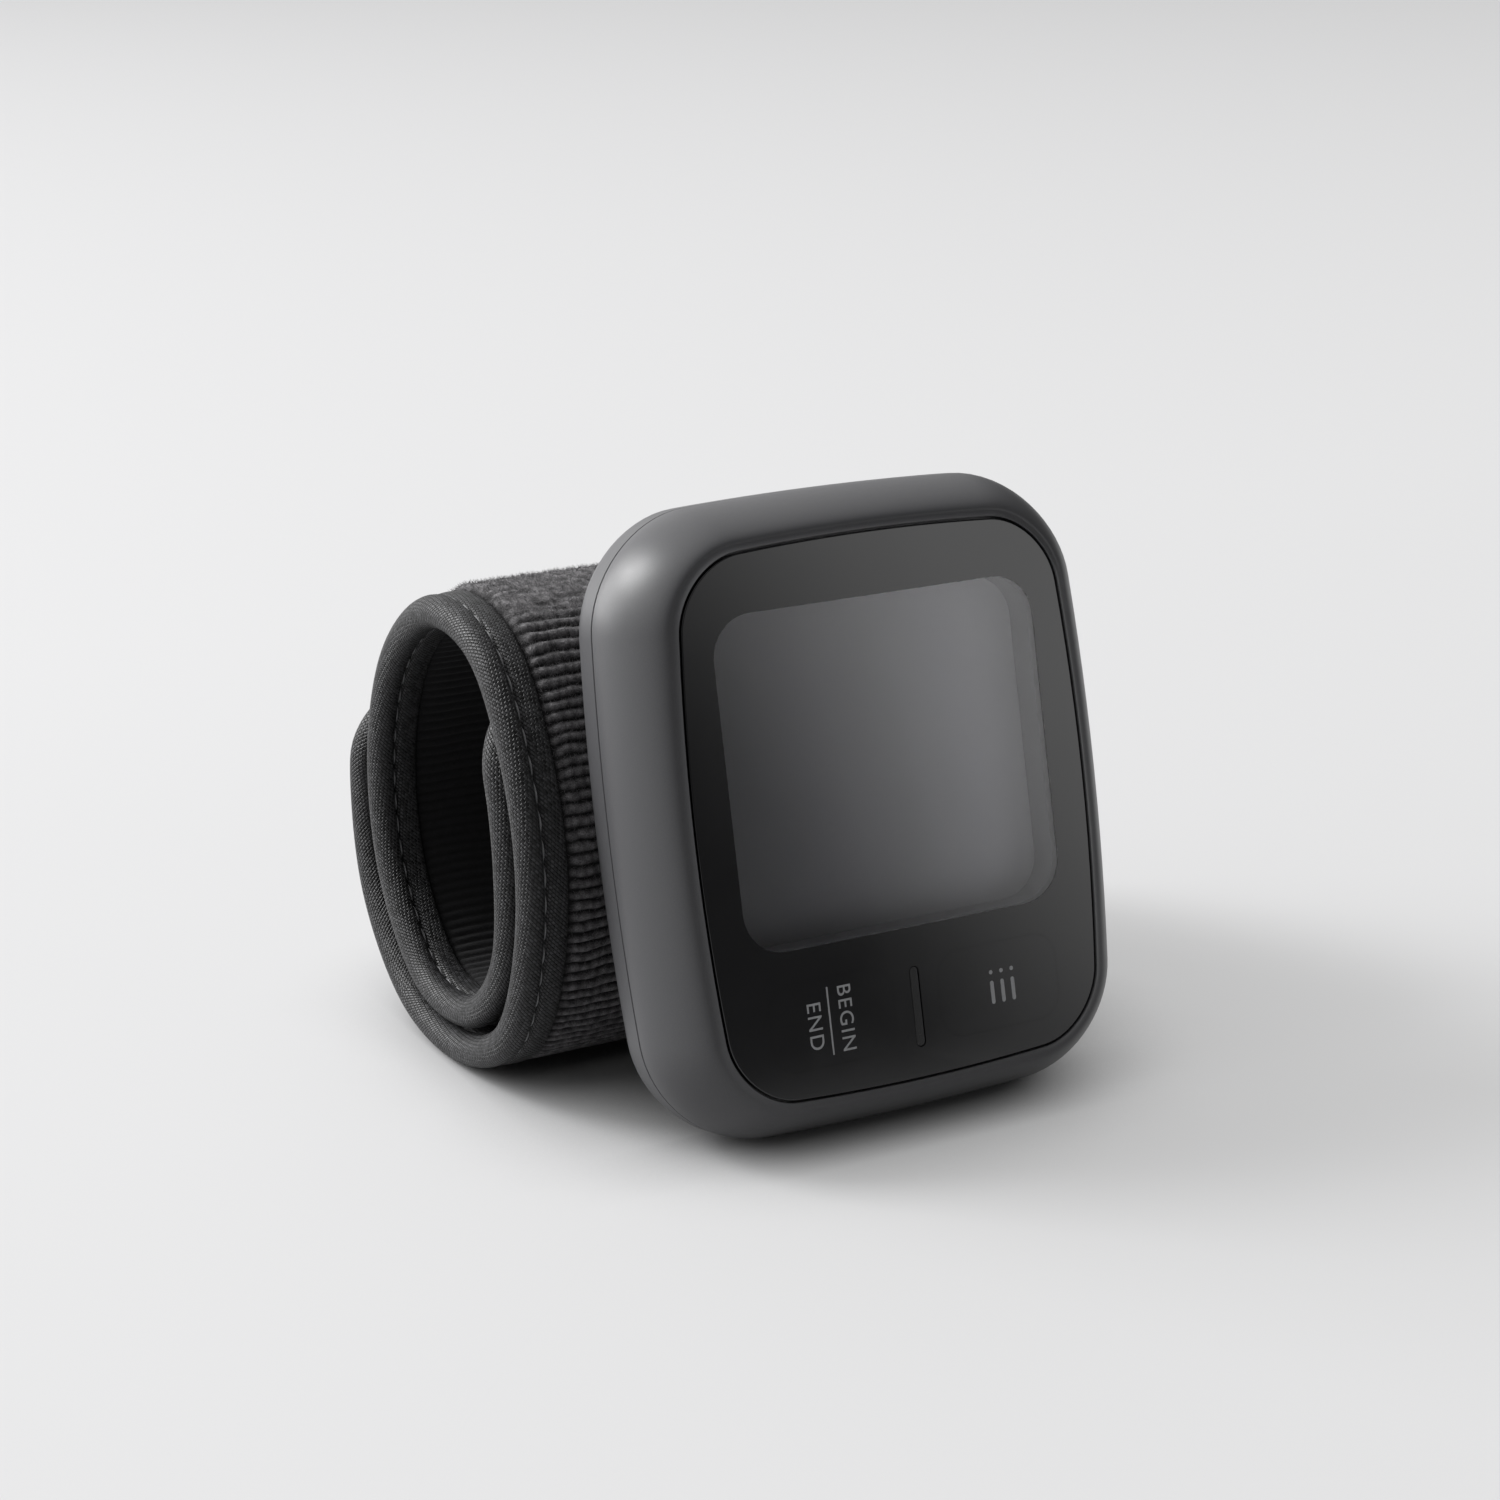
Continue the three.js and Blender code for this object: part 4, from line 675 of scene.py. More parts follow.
# Loop cover: the outer face of the wrist strap, a brushed knit of charcoal nylon loops in rows
# across the strap, which the hook patch grips. It is glued over the former and bound at its edges.
STRAP_HALF = 38.4
ROLL_HALF = 2.0
HEAD_ACROSS = 1.0
STRAP_FRONT = 17.7566
COIL_POINTS = ((9.4, 18.2), (6.6, 10.6), (6.4, -1), (10.9, -14.4), (22.2, -21.2), (35.8, -18.6),
               (43.4, -6), (42.2, 9), (33.2, 21.6), (19.2, 26.9), (6, 21.6), (0.1, 5), (2.6, -10),
               (12.2, -22.8), (26.4, -26.2), (41.4, -21.4), (49.8, -9), (49.4, 5), (43.5, 17.8))
TAIL_LENGTH = 34.3
TAIL_OVERLAP = 9
PATH_STEPS = 60


def coil_path(points):
    """Smooth path through the coil's points as distance along, place behind and up, and heading:
    a cubic between each two points, whose slopes there follow the square root of the spacing."""
    pts = [Vector(p) for p in points]
    pts = [2 * pts[0] - pts[1], *pts, 2 * pts[-1] - pts[-2]]
    line = []
    for p0, p1, p2, p3 in zip(pts, pts[1:], pts[2:], pts[3:]):
        d0, d1, d2 = (math.sqrt((b - a).length) for a, b in ((p0, p1), (p1, p2), (p2, p3)))
        m1 = ((p1 - p0) / d0 - (p2 - p0) / (d0 + d1) + (p2 - p1) / d1) * d1
        m2 = ((p2 - p1) / d1 - (p3 - p1) / (d1 + d2) + (p3 - p2) / d2) * d1
        for step in range(PATH_STEPS):
            t = step / PATH_STEPS
            spot = (p1 * (2 * t ** 3 - 3 * t ** 2 + 1) + m1 * (t ** 3 - 2 * t ** 2 + t)
                    + p2 * (3 * t ** 2 - 2 * t ** 3) + m2 * (t ** 3 - t ** 2))
            slope = (p1 * (6 * t ** 2 - 6 * t) + m1 * (3 * t ** 2 - 4 * t + 1)
                     + p2 * (6 * t - 6 * t ** 2) + m2 * (3 * t ** 2 - 2 * t))
            line.append((spot, slope.normalized()))
    line.append((pts[-2], (pts[-2] - line[-1][0]).normalized()))
    path, along = [], 0.0
    for index, (spot, heading) in enumerate(line):
        along += (spot - line[index - 1][0]).length if index else 0.0
        path.append((along, spot, heading))
    return path


strap_path = coil_path(COIL_POINTS)
strap_stops = [along for along, _, _ in strap_path]
strap_length = strap_stops[-1]
strap_fold = strap_length - TAIL_LENGTH
strap_split = strap_fold - TAIL_OVERLAP


def strap_at(along):
    """Place on the strap's mid-line, behind and up, and its heading there."""
    held = min(max(along, 0.0), strap_length)
    ahead = min(bisect.bisect_right(strap_stops, held), len(strap_stops) - 1)
    (from_along, spot_a, way_a), (to_along, spot_b, way_b) = strap_path[ahead - 1:ahead + 1]
    share = (held - from_along) / max(to_along - from_along, 1e-9)
    way = way_a.lerp(way_b, share).normalized()
    return spot_a.lerp(spot_b, share) + way * (along - held), way


def on_strap(along, across, out):
    """Place in the scene of a point of the strap: along it, across from its middle, out of it."""
    spot, way = strap_at(along)
    return in_head(across - HEAD_ACROSS, spot.y - way.x * out, STRAP_FRONT + spot.x + way.y * out)


SHEET_HALF = 34.2
SHEET_INSET = 4.2
SHEET_CORNER = 6.6
EDGE_CORNER = 9
ROLL_CENTRE = STRAP_HALF - ROLL_HALF
TAPE_IN = 3.45


def sheet_half(along):
    """Half width of the sewn sheet: it rounds off towards both ends of the strap."""
    gap = min(along - SHEET_INSET, strap_length - SHEET_INSET - along)
    if gap >= SHEET_CORNER:
        return SHEET_HALF
    left = max(SHEET_CORNER - gap, 0.0)
    return SHEET_HALF - SHEET_CORNER + math.sqrt(max(SHEET_CORNER ** 2 - left ** 2, 0.0))


def clear_of_tape(along, across):
    """Distance in from the inner edge of the tape that binds the strap, below 0 under the tape."""
    from_end = min(along, strap_length - along) - ROLL_HALF
    from_side = ROLL_CENTRE - abs(across)
    if from_end < EDGE_CORNER and from_side < EDGE_CORNER:
        inward = EDGE_CORNER - math.hypot(EDGE_CORNER - from_end, EDGE_CORNER - from_side)
        return inward - TAPE_IN
    return min(from_end, from_side) - TAPE_IN


def rows_between(start, end, step):
    """Evenly spaced distances along the strap, from start to end."""
    count = max(1, round(abs(end - start) / step))
    return [start + (end - start) * i / count for i in range(count)] + [end]


def held_in(value, low=0.0, high=1.0):
    """Value held between two ends."""
    return min(max(value, low), high)


COVER_BACK = 0.95
PILE_FOOT = 1.42
RIB_PITCH = 1.3
RIB_HEIGHT = 0.72
LOFT = 0.75
LOFT_BEND = 1.5
COVERED_TO = 98
UNCOVER_LENGTH = 8
HEAD_HALF = 31.6
HEAD_CLEARANCE = 0.12
PRESSED = 1.95
FREE_RISE = 1.2
SEWN_IN = 0.9
PILE_FROM = 68

# The strap's way backwards tells how it lies: near -1 face up, near 1 face down on the table. Each
# pair is where the pile begins to change and over how much of the turn it does.
FACE_UP = (0.15, 0.8)
BRUSHED = (-0.74, 0.15)
ON_TABLE = 0.45
STEEPEST = 0.2

# Brushed cloth is never even: each swing holds its size, its turns per mm across and along, and the
# layer of the noise that it reads.
ROW_SWING = (0.45, 0.15, 0.08, 3.0)
ROW_WOBBLE = (0.18, 0.6, 0.4, 9.0)
TUFT_SWING = (0.5, 0.6, 1.7, 7.0)
TUFT_SHARE = 0.35
RIB_FULLNESS = 0.8
FELT_LEVEL = 0.66
FELT_SWING = (0.3, 0.7, 0.9, 1.0)
FELT_WOBBLE = (0.2, 1.3, 2.1, 5.0)


def swung(swing, across, along):
    """Value of a random swing at a place on the cloth, about 0."""
    size, per_across, per_along, layer = swing
    return size * noise.noise(Vector((across * per_across, along * per_along, layer)))


def pile_top(along, across):
    """Height of the loop pile, its row of loops as a distance along, and its painted shade,
    which follows the pile's relief: darker down between the rows and towards the sewn edges. The rows
    are uneven, brushed into a raised felt where the strap lies face up, and pressed flat where it lies
    under itself, on the floor or against the head."""
    spot, way = strap_at(along)
    face_up = held_in((FACE_UP[0] - way.x) / FACE_UP[1])
    bare = held_in((along - COVERED_TO) / UNCOVER_LENGTH)
    row = along / RIB_PITCH + swung(ROW_SWING, across, along) + swung(ROW_WOBBLE, across, along)
    number = math.floor(row)
    tuft = 0.5 + swung(TUFT_SWING, across, number)
    ribs = math.sin((row - number) * math.pi) ** RIB_FULLNESS * (1 - TUFT_SHARE + TUFT_SHARE * tuft)
    felt = FELT_LEVEL + swung(FELT_SWING, across, along) + swung(FELT_WOBBLE, across, along)
    brushed = held_in((BRUSHED[0] - way.x) / BRUSHED[1])
    relief = ribs + (felt - ribs) * brushed
    height = PILE_FOOT + RIB_HEIGHT * relief + LOFT * face_up ** LOFT_BEND * bare
    height = min(height, PRESSED + (FREE_RISE * bare if way.x < ON_TABLE else 0.0))
    if way.y < 0 and abs(across - HEAD_ACROSS) < HEAD_HALF:
        room = STRAP_FRONT + spot.x - HEAD_DEPTH - HEAD_CLEARANCE
        height = min(height, room / max(-way.y, STEEPEST))
    sewn = held_in(clear_of_tape(along, across) / SEWN_IN)
    return PILE_FOOT + (height - PILE_FOOT) * sewn, row * RIB_PITCH, held_in(relief) * sewn


def cloth_layer(name, rows, columns, face, back):
    """Closed cloth sheet of the strap with a plain back and sewn-in edges. face(along, across)
    gives its height, its distance along the knit and its painted shade. Columns are shares of
    the half width."""
    last = len(columns) - 1
    laid = [[face(along, sheet_half(along) * share) for share in columns] for along in rows]

    def spot(column, row):
        half = sheet_half(rows[row])
        column = 0 if column == last + 3 else column
        if column > last:
            return on_strap(rows[row], half if column == last + 1 else -half, back)
        return on_strap(rows[row], half * columns[column], laid[row][column][0])

    def chart(column, row):
        column = min(column, last)
        return (SHEET_HALF * columns[column], laid[row][column][1])

    def painted_shade(column, row):
        return laid[row][column][2] if column <= last else 0.0

    return laid_sheet(name, last + 3, len(rows) - 1, spot, chart, painted_shade, crease=80)


TAPE_LAP = 0.1
COVER_STEP = 0.18
HIDDEN_STEP = 2.4


def across_shares(count):
    """Columns of a sheet as shares of its half width: even between the tapes, one under each tape."""
    bare = (ROLL_CENTRE - TAPE_IN + TAPE_LAP) / SHEET_HALF
    return [-1.0] + [bare * (2 * i / count - 1) for i in range(count + 1)] + [1.0]


# The first rows always lie under the next turn, so they are coarse. The later ones are knitted out,
# as they show, some only once the free end is peeled off.
cover_columns = across_shares(96)
cover_rows = rows_between(SHEET_INSET, PILE_FROM, HIDDEN_STEP)[:-1]
cover_rows += rows_between(PILE_FROM, strap_split, COVER_STEP)
cover = cloth_layer("loop_cover", cover_rows, cover_columns, pile_top, COVER_BACK)
tail_rows = rows_between(strap_split, strap_length - SHEET_INSET, COVER_STEP)
tail_cover = cloth_layer("tail_loop_cover", tail_rows, cover_columns, pile_top, COVER_BACK)

# Brushed nylon loop knit: charcoal loops about 0.9 mm wide, one beside the other along each row,
# felted by fine fibres, with a dusty sheen where light comes from the side. Shade is painted into
# its colour: each loop paler at its middle and dark at the gaps between loops, and the pile's painted
# shade darker down between the rows.
LOOP_WIDTH = 0.9
FELT_GRAIN = 0.16
loop_knit = new_material("brushed_loop_knit", "#3a393a", 0.9,
                         {"Sheen Weight": 0.3, "Sheen Roughness": 0.45,
                          "Sheen Tint": srgb("#8a898b"), "IOR": 1.45})
knit_chart = add_node(loop_knit, "ShaderNodeUVMap").outputs["UV"]
fibre = add_node(loop_knit, "ShaderNodeTexNoise",
                 {"Vector": knit_chart, "Scale": 1 / FELT_GRAIN, "Detail": 2.0, "Roughness": 0.6})
loop_grid = add_node(loop_knit, "ShaderNodeMapping",
                     {"Vector": knit_chart, "Scale": (1 / LOOP_WIDTH, 1 / RIB_PITCH, 1)})
loops = add_node(loop_knit, "ShaderNodeTexVoronoi",
                 {"Vector": loop_grid.outputs["Vector"], "Scale": 1.0, "Randomness": 1.0}, feature="F1",
                 voronoi_dimensions="2D")
# Painted shade: each loop is painted paler at its middle and darker towards the gaps around it.
loop_painted_shade = add_node(loop_knit, "ShaderNodeMapRange",
                     {"Value": loops.outputs["Distance"], "From Min": 0.1, "From Max": 0.7,
                      "To Min": 1.0, "To Max": 0.5})
speck = add_node(loop_knit, "ShaderNodeMath",
                 {0: loop_painted_shade.outputs["Result"], 1: fibre.outputs["Fac"]}, operation="MULTIPLY")
# Painted shade: the pile's shade darkens the colour down between the rows and near the sewn edges.
raised = add_node(loop_knit, "ShaderNodeAttribute", attribute_name="painted_shade")
lit_yarn = add_node(loop_knit, "ShaderNodeMath",
                    {0: speck.outputs["Value"], 1: raised.outputs["Fac"]}, operation="MULTIPLY")
knit_tone_and_shade = add_node(loop_knit, "ShaderNodeMapRange",
                     {"Value": lit_yarn.outputs["Value"], "From Min": 0.08, "From Max": 0.5})
add_node(loop_knit, "ShaderNodeMixRGB",
         {"Fac": knit_tone_and_shade.outputs["Result"], "Color1": srgb("#151415"), "Color2": srgb("#908e90")},
         {"Color": "Base Color"})
add_node(loop_knit, "ShaderNodeBump",
         {"Height": speck.outputs["Value"], "Strength": 1.0, "Distance": 0.25 * MM},
         {"Normal": "Normal"})

fold_way = (on_strap(strap_fold + 1, 0, 0) - on_strap(strap_fold - 1, 0, 0)).normalized()


def at_the_fold(piece):
    """Bakes the place of a piece of the free end's cloth into its mesh."""
    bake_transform(piece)


for piece, node in ((cover, "cuff_cover"), (tail_cover, "tail_cover")):
    dress(piece, loop_knit)
    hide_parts(node)
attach(cover, "head")
at_the_fold(tail_cover)


# Loose fibres: brushing pulls fibre ends out of the loops, thickest where the strap lies face up and
# none where it lies on the table. They are thinner than a pixel, so they are drawn as stiff hairs
# about 0.06 mm thick.
FIBRE_LENGTH = 0.62
FIBRE_RADIUS = 0.03
FIBRE_TONE = 0.5
FIBRE_LEAN = 1.1
FIBRE_SPIN = 6.0
FIBRE_SEED = 4
FIBRES_PER_MM2 = (0.6, 7.0)
# Facings are the upward part of a face's normal.
THICKEST_FACING = 0.8
TABLE_FACING = -0.5


def fuzz_on(piece, name):
    """Fibres scattered over a piece's faces by geometry nodes and kept as a mesh of their own."""
    hairs = copy_of(piece, name)
    group = bpy.data.node_groups.new(name, "GeometryNodeTree")
    group.interface.new_socket("Geometry", in_out="INPUT", socket_type="NodeSocketGeometry")
    group.interface.new_socket("Geometry", in_out="OUTPUT", socket_type="NodeSocketGeometry")
    source = add_node(group, "NodeGroupInput")
    facing = add_node(group, "ShaderNodeSeparateXYZ",
                      {"Vector": add_node(group, "GeometryNodeInputNormal").outputs["Normal"]})
    density = add_node(group, "ShaderNodeMapRange",
                       {"Value": facing.outputs["Z"], "From Min": 0.0, "From Max": THICKEST_FACING,
                        "To Min": FIBRES_PER_MM2[0] / MM ** 2, "To Max": FIBRES_PER_MM2[1] / MM ** 2})
    free = add_node(group, "ShaderNodeMath", {0: facing.outputs["Z"], 1: TABLE_FACING},
                    operation="GREATER_THAN")
    points = add_node(group, "GeometryNodeDistributePointsOnFaces",
                      {"Mesh": source.outputs[0], "Selection": free.outputs["Value"],
                       "Density": density.outputs["Result"], "Seed": FIBRE_SEED})
    hair = add_node(group, "GeometryNodeMeshCone",
                    {"Vertices": 3, "Radius Top": 0.0, "Radius Bottom": FIBRE_RADIUS * MM,
                     "Depth": FIBRE_LENGTH * MM})
    lean = add_node(group, "FunctionNodeRandomValue",
                    {0: (-FIBRE_LEAN, -FIBRE_LEAN, 0.0), 1: (FIBRE_LEAN, FIBRE_LEAN, FIBRE_SPIN)},
                    data_type="FLOAT_VECTOR")
    leaning = add_node(group, "FunctionNodeEulerToRotation", {0: lean.outputs[0]})
    turned = add_node(group, "FunctionNodeRotateRotation",
                      {0: points.outputs["Rotation"], 1: leaning.outputs[0]}, rotation_space="LOCAL")
    placed = add_node(group, "GeometryNodeInstanceOnPoints",
                      {"Points": points.outputs["Points"], "Instance": hair.outputs["Mesh"],
                       "Rotation": turned.outputs[0]})
    kept = add_node(group, "GeometryNodeRealizeInstances", {0: placed.outputs[0]})
    add_node(group, "NodeGroupOutput", {0: kept.outputs[0]})
    scatter = hairs.modifiers.new("scatter", "NODES")
    scatter.node_group = group
    bpy.ops.object.modifier_apply(modifier=scatter.name)
    return hairs


fibre_nylon = new_material("loose_nylon_fibre", "#5a585a", 0.8, {"Sheen Weight": 0.2})
make_uneven(fibre_nylon, FIBRE_TONE, detail=2.0, colours=("#3c3b3c", "#747274"))
cover_fuzz = fuzz_on(cover, "cover_fuzz")
tail_fuzz = fuzz_on(tail_cover, "tail_cover_fuzz")
for piece in (cover_fuzz, tail_fuzz):
    dress(piece, fibre_nylon)
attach(cover_fuzz, "head")
at_the_fold(tail_fuzz)


# Lining: the face against the wrist, a fine ribbed knit in near black, glued under the bladder and
# sewn into the same bound edge.
LINING_BACK = -1.0
LINING_FOOT = -1.46
LINING_RELIEF = 0.34
LINING_PITCH = 1.25
LINING_STEP = 0.25
LINING_SWING = (0.2, 0.2, 0.06, 11.0)
LINING_FULLNESS = (0.5, 1.3, 1.3, 5.0)
LINING_SHARE = 0.45


def lining_face(along, across):
    """Height of the lining, its distance along the knit and its painted shade: uneven ribs across the
    strap, darker down between them and towards the sewn edges.
    """
    row = along / LINING_PITCH + swung(LINING_SWING, across, along)
    full = 0.5 + swung(LINING_FULLNESS, across, along)
    ribs = math.sin((row - math.floor(row)) * math.pi) * (1 - LINING_SHARE + LINING_SHARE * full)
    sewn = held_in(clear_of_tape(along, across) / SEWN_IN)
    return LINING_FOOT - LINING_RELIEF * ribs * sewn, row * LINING_PITCH, ribs * sewn


lining_columns = across_shares(70)
lining_rows = rows_between(SHEET_INSET, strap_split, LINING_STEP)
lining = cloth_layer("wrist_lining", lining_rows, lining_columns, lining_face, LINING_BACK)
tail_lining_rows = rows_between(strap_split, strap_length - SHEET_INSET, LINING_STEP)
tail_lining = cloth_layer("tail_wrist_lining", tail_lining_rows, lining_columns, lining_face, LINING_BACK)

# Fine rib knit: matt near-black polyester yarn about 0.25 mm thick with little sheen, its colour
# painted darker down between the ribs and towards the sewn edges.
LINING_YARN = 0.25
rib_knit = new_material("fine_rib_knit", "#161617", 0.9,
                        {"Sheen Weight": 0.12, "Sheen Roughness": 0.5, "Sheen Tint": srgb("#6f6f72")})
rib_chart = add_node(rib_knit, "ShaderNodeUVMap")
rib_yarn = add_node(rib_knit, "ShaderNodeTexNoise",
                    {"Vector": rib_chart.outputs["UV"], "Scale": 1 / LINING_YARN, "Detail": 4.0})
# Painted shade: the lining's shade darkens its colour down between the ribs and near the sewn edges.
rib_painted_shade = add_node(rib_knit, "ShaderNodeAttribute", attribute_name="painted_shade")
rib_lit = add_node(rib_knit, "ShaderNodeMath",
                   {0: rib_yarn.outputs["Fac"], 1: rib_painted_shade.outputs["Fac"]}, operation="MULTIPLY")
add_node(rib_knit, "ShaderNodeMixRGB",
         {"Fac": rib_lit.outputs["Value"], "Color1": srgb("#080809"), "Color2": srgb("#262628")},
         {"Color": "Base Color"})
add_node(rib_knit, "ShaderNodeBump",
         {"Height": rib_yarn.outputs["Fac"], "Strength": 0.8, "Distance": 0.12 * MM},
         {"Normal": "Normal"})
for piece, node in ((lining, "cuff_lining"), (tail_lining, "tail_lining")):
    dress(piece, rib_knit)
    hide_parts(node)
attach(lining, "head")
at_the_fold(tail_lining)


# Bound edge: a bias-cut tape of fine charcoal twill folded over a cord and sewn through the strap,
# so that the rim is a firm roll, a stitched valley and a flat band on both faces.
TAPE_TOP = 2.06
TAPE_FOOT = 1.5
VALLEY_IN = 0.78
VALLEY_TOP = 1.5
# Both lines are places out and heights: the band's from the tape's inner edge, the valley's from the
# middle of the roll.
BAND_LINE = ((0.03, TAPE_FOOT), (0, TAPE_TOP - 0.14), (0.12, TAPE_TOP - 0.02), (0.5, TAPE_TOP),
             (1.2, TAPE_TOP))
VALLEY_LINE = ((-1.55, TAPE_TOP - 0.05), (-1.15, TAPE_TOP - 0.2), (-0.95, VALLEY_TOP + 0.12),
               (-VALLEY_IN, VALLEY_TOP))
ROLL_FROM = 104
ROLL_STEPS = 28
EDGE_STEP = 1.3
EDGE_CORNER_STEPS = 14
EDGE_END_STEPS = 24


def edge_section():
    """Section of the bound edge as (outwards, height): the band, the valley, the roll and back."""
    upper = [(-TAPE_IN + p, h) for p, h in BAND_LINE] + list(VALLEY_LINE)
    roll = []
    for step in range(ROLL_STEPS + 1):
        angle = math.radians(ROLL_FROM * (1 - 2 * step / ROLL_STEPS))
        roll.append((ROLL_HALF * math.cos(angle), ROLL_HALF * math.sin(angle)))
    lower = [(p, -h) for p, h in reversed(upper)]
    return upper + roll + lower


def edge_route(end, split):
    """Places round one end of the strap: along, across, and which way is outwards there."""
    inward = 1 if split > end else -1
    corner_line = end + inward * (ROLL_HALF + EDGE_CORNER)
    half = [(along, ROLL_CENTRE, 0, 1) for along in rows_between(split, corner_line, EDGE_STEP)[:-1]]
    for step in range(EDGE_CORNER_STEPS + 1):
        angle = step / EDGE_CORNER_STEPS * math.pi / 2
        c, s = math.cos(angle), math.sin(angle)
        half.append((corner_line - inward * EDGE_CORNER * s, ROLL_CENTRE - EDGE_CORNER * (1 - c),
                     -inward * s, c))
    flat = ROLL_CENTRE - EDGE_CORNER
    end_line = end + inward * ROLL_HALF
    across_end = [(end_line, flat * (1 - 2 * step / EDGE_END_STEPS), -inward, 0)
                  for step in range(1, EDGE_END_STEPS)]
    mirrored = [(along, -across, da, -dx) for along, across, da, dx in reversed(half)]
    return half + across_end + mirrored


def run_along(places):
    """Distance run up to each of some places, of which the first two numbers say where they are."""
    run = [0.0]
    for (a0, x0, *_), (a1, x1, *_) in zip(places, places[1:]):
        run.append(run[-1] + math.hypot(a1 - a0, x1 - x0))
    return run


section = edge_section()
section_run = run_along(section + section[:1])


def bound_edge(name, end, split):
    """Rolled and taped edge round one end of the strap."""
    route = edge_route(end, split)
    run = run_along(route)

    def spot(column, row):
        along, across, da, dx = route[row]
        p, h = section[column % len(section)]
        return on_strap(along + da * p, across + dx * p, h)

    def chart(column, row):
        return (section_run[column], run[row])

    return laid_sheet(name, len(section), len(route) - 1, spot, chart, crease=50)


edge = bound_edge("bound_edge", 0.0, strap_split)
tail_edge = bound_edge("tail_bound_edge", strap_length, strap_split)

# Fine twill tape cut on the bias: charcoal polyester threads about 0.25 mm wide lying at 45 degrees
# to the edge, drawn at 0.38 mm so that the weave still shows in the render.
THREAD = 0.38
BIAS = math.radians(45)
twill = new_material("bias_twill_tape", "#222223", 0.48,
                     {"Sheen Weight": 0.04, "Sheen Roughness": 0.35, "Sheen Tint": srgb("#9a9a9c"),
                      "IOR": 1.45})
twill_turn = add_node(twill, "ShaderNodeMapping",
                      {"Vector": add_node(twill, "ShaderNodeUVMap").outputs["UV"],
                       "Rotation": (0, 0, BIAS)})
weave = add_node(twill, "ShaderNodeTexBrick",
                 {"Vector": twill_turn.outputs["Vector"], "Scale": 1.0, "Brick Width": THREAD * 1.5,
                  "Row Height": THREAD, "Mortar Size": THREAD * 0.28, "Mortar Smooth": 1.0, "Bias": -0.1,
                  "Color1": srgb("#060607"), "Color2": srgb("#444446"), "Mortar": srgb("#020203")},
                 {"Color": "Base Color"})
add_node(twill, "ShaderNodeBump",
         {"Height": weave.outputs["Fac"], "Strength": 1.0, "Distance": 0.2 * MM},
         {"Normal": "Normal"}, invert=True)
for piece, node in ((edge, "edge_binding"), (tail_edge, "tail_binding")):
    dress(piece, twill)
    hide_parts(node)
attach(edge, "head")
at_the_fold(tail_edge)


# Edge stitching: one lockstitch row in the valley between roll and band, on both faces. Each stitch
# is a short length of smooth grey polyester thread that dips into the tape at both ends.
STITCH_PITCH = 3.1
STITCH_LENGTH = 2.35
STITCH_RADIUS = 0.13
STITCH_SINK = 0.02
STITCH_ARCH = 0.2
STITCH_END = 0.02
STITCH_TAPER = 0.4
STITCH_PLY = 0.2
STITCH_SIDES = 6
STITCH_STEPS = 6


def stitch_row(name, end, split):
    """Both faces' stitches round one end of the strap: one thread, thin and sunk in between them."""
    route = edge_route(end, split)
    run = run_along(route)

    def on_route(distance):
        index = max(i for i in range(len(run) - 1) if run[i] <= distance)
        share = (distance - run[index]) / (run[index + 1] - run[index])
        return [a + (b - a) * share for a, b in zip(route[index], route[index + 1])]

    starts = [i * STITCH_PITCH + STITCH_PITCH / 4 for i in range(int(run[-1] / STITCH_PITCH))]
    rings = [(start, 1) for start in starts] + [(start, -1) for start in reversed(starts)]

    def spot(column, row):
        start, face = rings[row // (STITCH_STEPS + 1)]
        share = (row % (STITCH_STEPS + 1)) / STITCH_STEPS
        along, across, da, dx = on_route(start + STITCH_LENGTH * (share if face > 0 else 1 - share))
        swell = math.sin(math.pi * share)
        radius = STITCH_RADIUS * max(swell, STITCH_END) ** STITCH_TAPER
        angle = 2 * math.pi * (column % STITCH_SIDES) / STITCH_SIDES
        p = -VALLEY_IN + radius * math.cos(angle)
        h = VALLEY_TOP - STITCH_SINK + STITCH_ARCH * swell + radius * math.sin(angle)
        return on_strap(along + da * p, across + dx * p, face * h)

    return laid_sheet(name, STITCH_SIDES, len(rings) * (STITCH_STEPS + 1) - 1, spot, crease=80)


stitches = stitch_row("edge_stitching", 0.0, strap_split)
tail_stitches = stitch_row("tail_edge_stitching", strap_length, strap_split)
thread = new_material("polyester_thread", "#868688", 0.5, {"Sheen Weight": 0.1})
make_uneven(thread, STITCH_PLY, detail=2.0, colours=("#6a6a6c", "#a0a0a2"))
for piece in (stitches, tail_stitches):
    dress(piece, thread)
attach(stitches, "head")
at_the_fold(tail_stitches)


# Hook patch: a strip of black nylon hook tape sewn inside the free end, which grips the loop cover.
# Its stubs are too fine to model one by one, so rows of small studs stand for them.
HOOK_MARGIN = 2
HOOK_FROM_END = 4.85
HOOK_LENGTH = 18
HOOK_HALF = 31.5
HOOK_HEIGHTS = (-1.98, -2.14)
HOOK_STUD = 0.9
HOOK_STUD_HEIGHT = 0.2
HOOK_STEP = 0.3
HOOK_COLUMNS = 180
HOOK_GRAIN = 0.25
hook_end = strap_length - HOOK_FROM_END - HOOK_MARGIN
hook_rows = rows_between(hook_end - HOOK_LENGTH, hook_end, HOOK_STEP)


def hook_spot(column, row):
    """Corner of the hook tape: a plain back and a face of studs."""
    along = hook_rows[row]
    column = 0 if column == HOOK_COLUMNS + 3 else column
    if column > HOOK_COLUMNS:
        return on_strap(along, HOOK_HALF if column == HOOK_COLUMNS + 1 else -HOOK_HALF, HOOK_HEIGHTS[0])
    across = HOOK_HALF * (2 * column / HOOK_COLUMNS - 1)
    stud = max(0.0, math.sin(math.pi * along / HOOK_STUD) * math.sin(math.pi * across / HOOK_STUD))
    return on_strap(along, across, HOOK_HEIGHTS[1] - HOOK_STUD_HEIGHT * stud)


